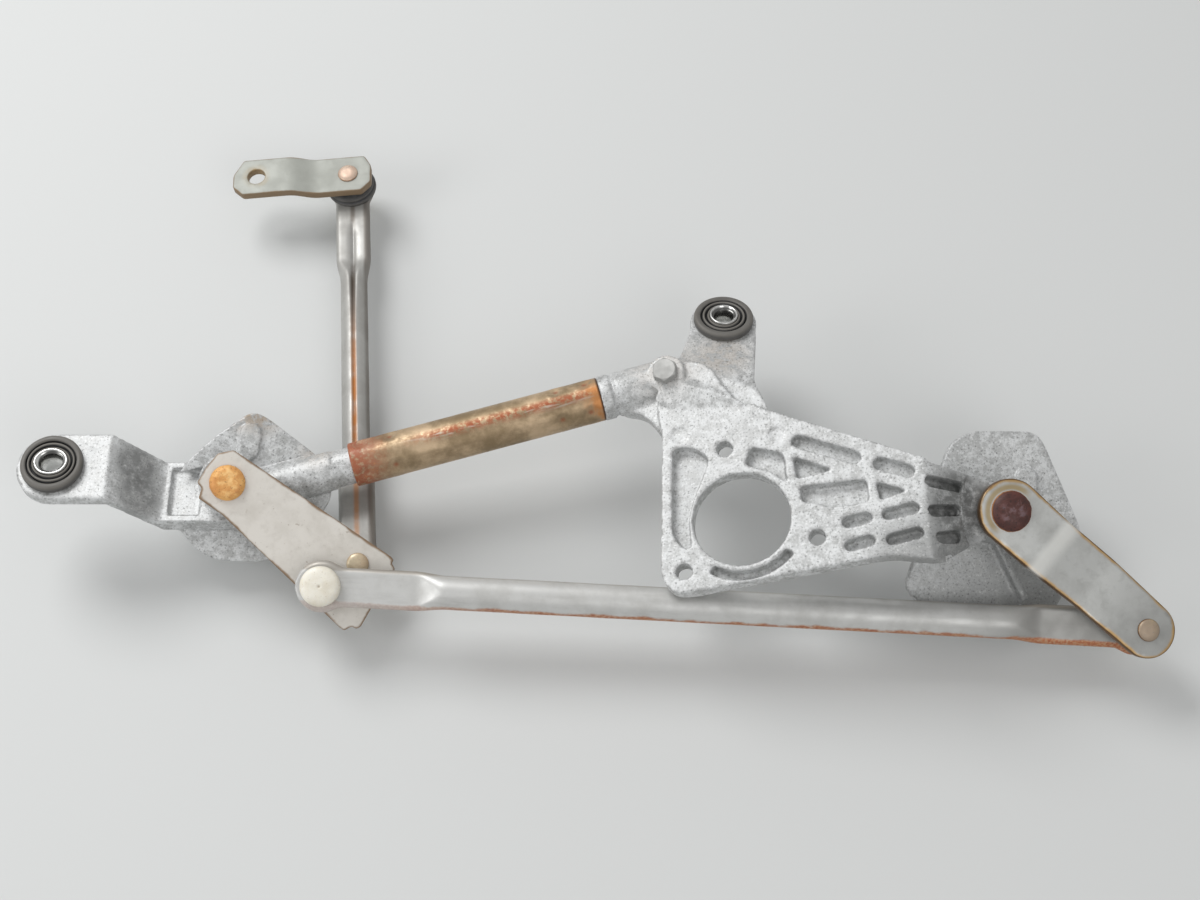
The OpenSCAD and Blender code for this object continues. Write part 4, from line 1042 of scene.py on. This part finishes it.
# Ball studs. Turned steel studs with a ball, a collar and a shank that is riveted over on the far side
# of the plate. The rivets that face up have gone gold-brown.
stud_reach = 9.0
stud_neck = 3.2
stud_pits = 0.05
ball_radius = 5.5
right_ball_radius = 5.0
left_ball_reach = 60.5
left_ball_turn = -44
drive_ball_reach = 66.3
drive_ball_turn = -28.5
motor_rod_heading = 94.2
motor_rod_length = 205.4
crank_thickness = 4.2
crank_turn = (0, 4, 183)
stud_pale = (0.58, 0.57, 0.54, 1)
stud_dull = (0.30, 0.28, 0.25, 1)


def swung(pivot, reach, turn, height):
    """Point at a reach and a turn from a pivot, in mm."""
    return Vector((pivot[0] + reach * math.cos(math.radians(turn)),
                   pivot[1] + reach * math.sin(math.radians(turn)), pivot[2] + height))


def stud_profile(ball, plate):
    """Ball stud from the top of its ball to the riveted head, (radius, height) from the ball's centre."""
    rows = [(0, ball)] + [(ball * math.sin(math.radians(a)), ball * math.cos(math.radians(a)))
                          for a in range(10, 146, 9)]
    foot = -stud_reach - plate
    rows += [(stud_neck, -ball * 0.92), (stud_neck, -stud_reach + 1.3), (4.9, -stud_reach + 1.0),
             (5.2, -stud_reach + 0.7), (5.2, -stud_reach + 0.02), (stud_neck, -stud_reach), (stud_neck, foot),
             (4.75, foot - 0.02), (4.8, foot - 0.45), (4.5, foot - 0.9), (3.7, foot - 1.35),
             (2.4, foot - 1.65), (1.2, foot - 1.72), (0, foot - 1.6)]
    return rows


def stud_finish(name, seat, foot, gold, brown, pale_ring):
    """Zinc plated stud. The riveted head below foot, in mm on the stud's axis, has rusted."""
    skin = metal_finish(name, stud_pale, stud_dull, 0.36, 0.8, seat=seat)
    height = skin.part(skin.own, "Z")
    head = skin.span(height, (foot + 0.1) * MM, (foot - 0.1) * MM)
    crown = skin.mix(skin.span(skin.cloud, 0.4, 0.62), gold, brown)
    crown = skin.mix(skin.span(skin.fine, 0.55, 0.7, 0, 0.7), crown, rust_dark)
    ring = skin.times(skin.span(height, (foot - 0.5) * MM, (foot - 1.0) * MM), 0.35)
    skin.coat(skin.mix(ring, crown, pale_ring), head)
    skin.set("Metallic", skin.span(head, 0, 1, 0.8, 0.35))
    return skin.material


half_turn = Matrix.Rotation(math.pi, 4, "X")
stud_drop = -stud_reach - lever_thickness
left_ball = swung((0, 0, 0), left_ball_reach, left_ball_turn, stud_reach)
drive_ball = swung((0, 0, 0), drive_ball_reach, drive_ball_turn, stud_drop)
right_ball = swung(right_pivot, right_lever_length, right_lever_turn, joggle_rise + stud_drop)
left_ball_seat = shifted(left_seat, left_ball)
drive_stud_seat = shifted(left_seat, drive_ball) @ half_turn
right_stud_seat = shifted(left_seat, right_ball) @ half_turn
motor_rod_seat = place(drive_stud_seat.to_translation() / MM, (0, 0, motor_rod_heading))
crank_point = (motor_rod_seat @ Vector((motor_rod_length * MM, 0, 0))) / MM
crank_seat = place(crank_point, crank_turn)
for stud_name, stud_seat, stud_ball, stud_plate, stud_body, stud_tones in (
        ("left_rod_stud", left_ball_seat, ball_radius, lever_thickness, "left_lever",
         ((0.44, 0.30, 0.12, 1), (0.26, 0.13, 0.05, 1), (0.6, 0.55, 0.45, 1))),
        ("left_drive_stud", drive_stud_seat, ball_radius, lever_thickness, "left_lever",
         ((0.62, 0.50, 0.32, 1), (0.38, 0.22, 0.09, 1), (0.70, 0.64, 0.52, 1))),
        ("right_rod_stud", right_stud_seat, right_ball_radius, lever_thickness, "right_lever",
         ((0.40, 0.27, 0.11, 1), (0.20, 0.10, 0.045, 1), (0.62, 0.58, 0.48, 1))),
        ("crank_stud", crank_seat @ half_turn, ball_radius, crank_thickness, "crank",
         ((0.68, 0.50, 0.36, 1), (0.42, 0.22, 0.12, 1), (0.80, 0.74, 0.66, 1)))):
    stud_skin = stud_finish(stud_name + "_zinc", stud_seat, -stud_reach - stud_plate, *stud_tones)
    stud_mesh = turned(stud_name, stud_profile(stud_ball, stud_plate), stud_seat, 56, pits=stud_pits)
    link_piece(stud_name + "_riveted", stud_mesh, stud_skin, stud_body, stud_name)


# Rods. Each is a plated steel strip rolled to a tube and pressed flat at both ends, where an eye is punched
# for the nylon socket. The long rod joins the levers, the motor rod joins the left lever to the crank.
long_rod_run = right_ball - left_ball
long_rod_length = long_rod_run.length
long_rod_seat = left_ball_seat @ place((0, 0, 0), (
    0, -math.degrees(math.atan2(long_rod_run.z, math.hypot(long_rod_run.x, long_rod_run.y))),
    math.degrees(math.atan2(long_rod_run.y, long_rod_run.x))))
long_rod_radius = 7.3
long_rod_flat = (5.0, 17.0, 40.0)
long_rod_eye = 11.2
motor_rod_radius = 6.4
motor_rod_flat = (4.6, 16.5, 42.0)
motor_rod_eye = 10.6
eye_hole = 7.52
right_eye_hole = 8.32
rod_blend = 14.0
rod_around = 112
rod_step = 1.15
rod_end_steps = 14
rod_drawn = (0.12, 1, 1)
long_rod_pale = (0.61, 0.61, 0.595, 1)
long_rod_dull = (0.42, 0.415, 0.395, 1)
long_rod_dark = (0.26, 0.255, 0.24, 1)
long_rod_brown = (0.24, 0.19, 0.13, 1)
motor_rod_pale = (0.44, 0.435, 0.415, 1)
motor_rod_dull = (0.30, 0.29, 0.27, 1)
motor_rod_shade = (0.16, 0.14, 0.12, 1)
seam_black = (0.10, 0.075, 0.055, 1)


def smooth_step(value):
    value = min(1.0, max(0.0, value))
    return value * value * (3 - 2 * value)


def section_point(turn, half_width, half_height):
    """Point on a flattened round section, turn from its wide side."""
    wide, high = half_width * math.cos(turn), half_height * math.sin(turn)
    size = math.hypot(wide, high)
    wide, high = wide / size, high / size
    straight = max(0.0, half_width - half_height)
    if abs(high) > 1e-6 and abs(wide / high) * half_height <= straight:
        return wide / abs(high) * half_height, math.copysign(half_height, high)
    rest = max(0.0, (straight * wide) ** 2 - straight ** 2 + half_height ** 2)
    reach = straight * abs(wide) + math.sqrt(rest)
    return reach * wide, reach * high


def rolled_rod(name, length, radius, flat_sizes, eye, seat, seam):
    """Rolled rod along x. Flat sizes are thickness, width and length, seam gives depth, turn and width."""
    flat_thick, flat_wide, flat_length = flat_sizes
    bends = [math.pi / 2 * k / rod_end_steps for k in range(1, rod_end_steps)]
    spots = [-eye * math.cos(bend) for bend in bends]
    spots += [rod_step * k for k in range(int(length / rod_step) + 1)]
    spots += [length + eye * math.sin(bend) for bend in bends]
    points = []
    for along in spots:
        inward = min(along, length - along)
        flat = 1 - smooth_step((inward - flat_length) / rod_blend)
        flat_half = math.sqrt(max(0.0, eye * eye - inward * inward)) if inward < eye else 0.0
        if inward >= 0:
            flat_half = (flat_half ** 8 + (flat_wide / 2) ** 8) ** 0.125
            flat_half = min(flat_half, eye) if inward < eye else flat_half
        half_width = radius + (flat_half - radius) * flat
        half_height = min(radius + (flat_thick / 2 - radius) * flat, half_width)
        depth, seam_turn, seam_width = seam(along, flat)
        for turn in around(rod_around):
            y, z = section_point(turn, half_width, half_height)
            if depth > 0:
                off = (turn - seam_turn + math.pi) % (2 * math.pi) - math.pi
                sink = depth * math.exp(-((off * radius / seam_width) ** 2))
                shrink = 1 - sink / max(math.hypot(y, z), 1.0)
                y, z = y * shrink, z * shrink
            dent = 0.06 * noise.noise(Vector((along * 0.09, y * 0.2, z * 0.2)))
            grow = 1 + dent / max(math.hypot(y, z), 1.5)
            points.append((along, y * grow, z * grow))
    faces = ring_faces(len(spots), rod_around)
    faces += [tuple(row * rod_around + k for k in range(rod_around)) for row in (0, len(spots) - 1)]
    return make_mesh(name, points, faces, seat)


def bored(mesh, seat, spots):
    """Mesh with round holes through it along z. Spots are (x in mm, radius in mm)."""
    piece = put(mesh.name + "_blank", mesh)
    drills = []
    for spot_x, spot_radius in spots:
        drill_profile = [(0, 20), (spot_radius, 20), (spot_radius, -20), (0, -20)]
        drills.append(put("drill", turned("drill", drill_profile, shifted(seat, (spot_x, 0, 0)), 48)))
        worked(piece, drills[-1], "DIFFERENCE", "EXACT")
    made = made_mesh(piece, drills)
    made.shade_smooth()
    made.set_sharp_from_angle(angle=math.radians(50))
    return made


def long_seam(along, flat):
    """Closed seam on the side of the long rod, in its round stretch."""
    return 0.55 * (1 - flat), math.radians(188), 0.45


def motor_seam(along, flat):
    """Open seam on top of the motor rod, widest where its crank end is pressed."""
    near_crank = smooth_step((along - 120) / 50)
    open_share = 1 - flat if along < 100 else 1 - 0.45 * flat
    ends = smooth_step((along - 24) / 20) * smooth_step((motor_rod_length - 17 - along) / 14)
    return (0.9 + 1.5 * near_crank) * open_share * ends, math.radians(90), 0.7 + 0.9 * near_crank


def long_rod_finish():
    """Satin zinc, rusted along the near side and dull at the right end."""
    skin = metal_finish("satin_zinc_long_rod", long_rod_pale, long_rod_dull, 0.44, 0.45, rod_drawn,
                        long_rod_seat)
    along = skin.part(skin.own, "X")
    side = skin.part(skin.own, "Y")
    rust = skin.span(skin.minus(side, skin.times(skin.cloud, 0.004)), -7.5 * MM, -8.6 * MM)
    rust = skin.times(rust, skin.span(along, 0.012, 0.09, 0.25, 1))
    rust = skin.times(rust, skin.span(skin.fine, 0.3, 0.55, 0.5, 1))
    skin.coat(long_rod_dark, skin.span(along, 0.265, 0.310, 0, 0.75))
    skin.coat(skin.mix(skin.span(skin.fine, 0.4, 0.62), rust_orange, rust_red), rust)
    skin.coat(long_rod_brown, skin.span(side, 6.4 * MM, 7.6 * MM, 0, 0.5))
    skin.set("Metallic", skin.span(rust, 0, 1, 0.45, 0.1))
    return skin.material


def motor_rod_finish():
    """Duller zinc, with a seam that is orange by the lever and nearly black by the crank."""
    skin = metal_finish("satin_zinc_motor_rod", motor_rod_pale, motor_rod_dull, 0.46, 0.5, rod_drawn,
                        motor_rod_seat)
    along, side, height = (skin.part(skin.own, axis) for axis in "XYZ")
    seam = skin.times(skin.span(side, -1.9 * MM, -0.3 * MM), skin.span(side, 1.9 * MM, 0.3 * MM))
    seam = skin.times(seam, skin.span(height, 1.0 * MM, 3.0 * MM))
    seam = skin.times(seam, skin.span(skin.cloud, 0.3, 0.6, 0.4, 1))
    skin.coat(rust_orange, seam, skin.span(along, 0.150, 0.090))
    skin.coat(seam_black, seam, skin.span(along, 0.100, 0.150, 0, 0.9))
    skin.coat(motor_rod_shade, skin.span(side, -4.4 * MM, -6.0 * MM, 0, 0.75))
    return skin.material


long_rod_mesh = bored(
    rolled_rod("long_rod", long_rod_length, long_rod_radius, long_rod_flat, long_rod_eye, long_rod_seat,
               long_seam),
    long_rod_seat, [(0, eye_hole), (long_rod_length, right_eye_hole)])
link_piece("long_rod_rolled", long_rod_mesh, long_rod_finish(), "long_rod", "long_rod")
motor_rod_mesh = bored(
    rolled_rod("motor_rod", motor_rod_length, motor_rod_radius, motor_rod_flat, motor_rod_eye, motor_rod_seat,
               motor_seam),
    motor_rod_seat, [(0, eye_hole), (motor_rod_length, eye_hole)])
link_piece("motor_rod_rolled", motor_rod_mesh, motor_rod_finish(), "motor_rod", "motor_rod")


# Nylon sockets. Ivory mouldings pressed through the rod eyes, domed on the closed side, each with the small
# mark of its gate. The ball studs snap into them from the open side.
socket_crown = 8.2
socket_shoulder = 5.0
socket_rim = 1.2
nylon_ivory = (0.82, 0.79, 0.70, 1)
nylon_tan = (0.68, 0.63, 0.52, 1)
nylon_speck = (0.38, 0.31, 0.21, 1)
nylon_hollow_shade = (0.30, 0.24, 0.16, 1)
socket_list = [
    ("long_rod_left_socket", long_rod_seat, 7.5, 5.56, 2.5, "long_rod"),
    ("long_rod_right_socket", shifted(long_rod_seat, (long_rod_length, 0, 0)) @ half_turn, 8.3, 6.9, 2.5,
     "long_rod"),
    ("motor_rod_drive_socket", motor_rod_seat @ half_turn, 7.5, 5.56, 2.3, "drive_socket"),
    ("motor_rod_crank_socket", shifted(motor_rod_seat, (motor_rod_length, 0, 0)) @ half_turn, 7.5, 5.56, 2.3,
     "motor_rod"),
]


def socket_profile(body, cavity, half_eye):
    """Socket with its cap toward +z, (radius, height) from the ball's centre."""
    cap = body + socket_rim
    dome = socket_crown - socket_shoulder
    rows = [(0, socket_crown - 0.25), (0.7, socket_crown - 0.22), (1.0, socket_crown), (1.35, socket_crown)]
    for turn in (math.radians(a) for a in range(20, 90, 8)):
        rows.append((cap * math.sin(turn) ** 0.8, socket_shoulder + dome * math.cos(turn) ** 0.7))
    rows += [(cap, socket_shoulder), (cap, half_eye + 0.5), (cap - 0.4, half_eye + 0.05), (body, half_eye),
             (body, -half_eye + 0.3), (body - 0.3, -half_eye), (cavity * 0.9 + 0.3, -half_eye)]
    low = math.degrees(math.acos(max(-1.0, min(1.0, -half_eye / cavity))))
    for turn in (math.radians(low * (1 - k / 10)) for k in range(10)):
        rows.append((cavity * math.sin(turn), cavity * math.cos(turn)))
    return rows + [(0, cavity)]


def nylon_finish():
    skin = Finish("ivory_nylon", nylon_ivory, 0.42, 0.0)
    cloud = skin.grain(110, 5, 0.6)
    fine = skin.grain(1300, 3, 0.7)
    skin.coat(nylon_tan, skin.span(cloud, 0.35, 0.7))
    skin.coat(nylon_speck, skin.span(fine, 0.62, 0.72, 0, 0.6))
    # Painted shade in the hollows, found by pointiness.
    skin.coat(nylon_hollow_shade, skin.corner(0.49, 0.44))
    skin.set("Roughness", skin.span(cloud, 0.3, 0.7, 0.34, 0.52))
    skin.bump(fine, 0.03)
    skin.set("Subsurface Weight", 0.12)
    skin.set("Subsurface Radius", (0.004, 0.0035, 0.0025))
    skin.set("Subsurface Scale", 0.4)
    return skin.material


nylon = nylon_finish()
for socket_name, socket_seat, socket_body, socket_cavity, socket_eye, socket_rider in socket_list:
    socket_mesh = turned(socket_name, socket_profile(socket_body, socket_cavity, socket_eye), socket_seat, 72)
    link_piece(socket_name + "_cap", socket_mesh, nylon, socket_rider, socket_name)


# Crank boot. A moulded rubber boot with two pleats that keeps dirt out of the crank's ball joint. It sits on
# the rod's eye and closes round the stud.
boot_foot = 2.34
boot_ring = [
    (6.5, -0.9), (11.4, -0.9), (11.9, 0.2), (12.0, 1.6), (12.0, 3.0), (11.75, 3.5), (11.1, 3.85),
    (10.65, 4.1), (10.6, 4.35), (10.95, 4.6), (11.3, 4.9), (11.35, 5.4), (11.0, 5.8), (9.6, 6.4), (7.6, 7.1),
    (6.4, 7.6), (4.4, 7.6), (3.8, 7.4), (3.8, 6.1), (5.0, 5.6), (6.3, 5.0), (6.5, 4.0),
]
boot_mesh = turned("crank_boot", boot_ring, crank_seat, 80, True)
boot_axis = crank_seat.to_3x3() @ Vector((0, 0, 1))
boot_floor = (crank_point.z + boot_foot) * MM
for vertex in boot_mesh.vertices:
    if vertex.co.z < boot_floor:
        vertex.co += boot_axis * ((boot_floor - vertex.co.z) / boot_axis.z)
boot_rubber = rubber_finish("boot_rubber", 0.35)
link_piece("crank_boot_pleated", boot_mesh, boot_rubber, "motor_rod", "crank_boot")


# Crank. A joggled arm stamped from steel plate with clipped corners and a round hole for the motor's shaft.
# Its zinc is pale, brown along the edges and stained round the hole.
crank_length = 44.4
crank_half = 10.3
crank_clip = 4.8
crank_near = 11.2
crank_far = crank_length + 11.4
crank_corner = 1.2
crank_hole = 4.2
crank_joggle = (17.0, 27.0, 4.0, 3.0)
crank_pale = (0.375, 0.385, 0.35, 1)
crank_dull = (0.30, 0.305, 0.275, 1)
crank_brown = (0.22, 0.14, 0.07, 1)
crank_stain = (0.38, 0.27, 0.12, 1)
crank_line = [
    (-crank_near, -crank_half + 6), (-crank_near + 3.2, -crank_half), (crank_far - 5, -crank_half),
    (crank_far, -crank_half + 8.6), (crank_far, crank_half - crank_clip),
    (crank_far - crank_clip, crank_half), (-crank_near + crank_clip, crank_half),
    (-crank_near, crank_half - crank_clip),
]


def crank_finish():
    skin = metal_finish("pale_zinc_crank", crank_pale, crank_dull, 0.52, 0.15)
    skin.coat(crank_brown, edge_share(skin, 0.55, 0.5), 0.9)
    hole_point = crank_seat @ Vector((crank_length * MM, 0, (stud_reach + 8) * MM)) / MM
    skin.coat(crank_stain, skin.near(hole_point, 4, 8), skin.span(skin.cloud, 0.4, 0.6, 0.2, 0.8))
    return skin.material


crank_outline = rounded_line(crank_line, crank_corner)
crank_mesh = stamped(
    "crank", crank_outline, crank_thickness, stud_reach + crank_thickness, crank_seat,
    lambda x, y: soft_joggle(x, *crank_joggle), (Vector((crank_length, 0)), crank_hole))
link_piece("crank_plate", crank_mesh, crank_finish(), "crank", "crank")
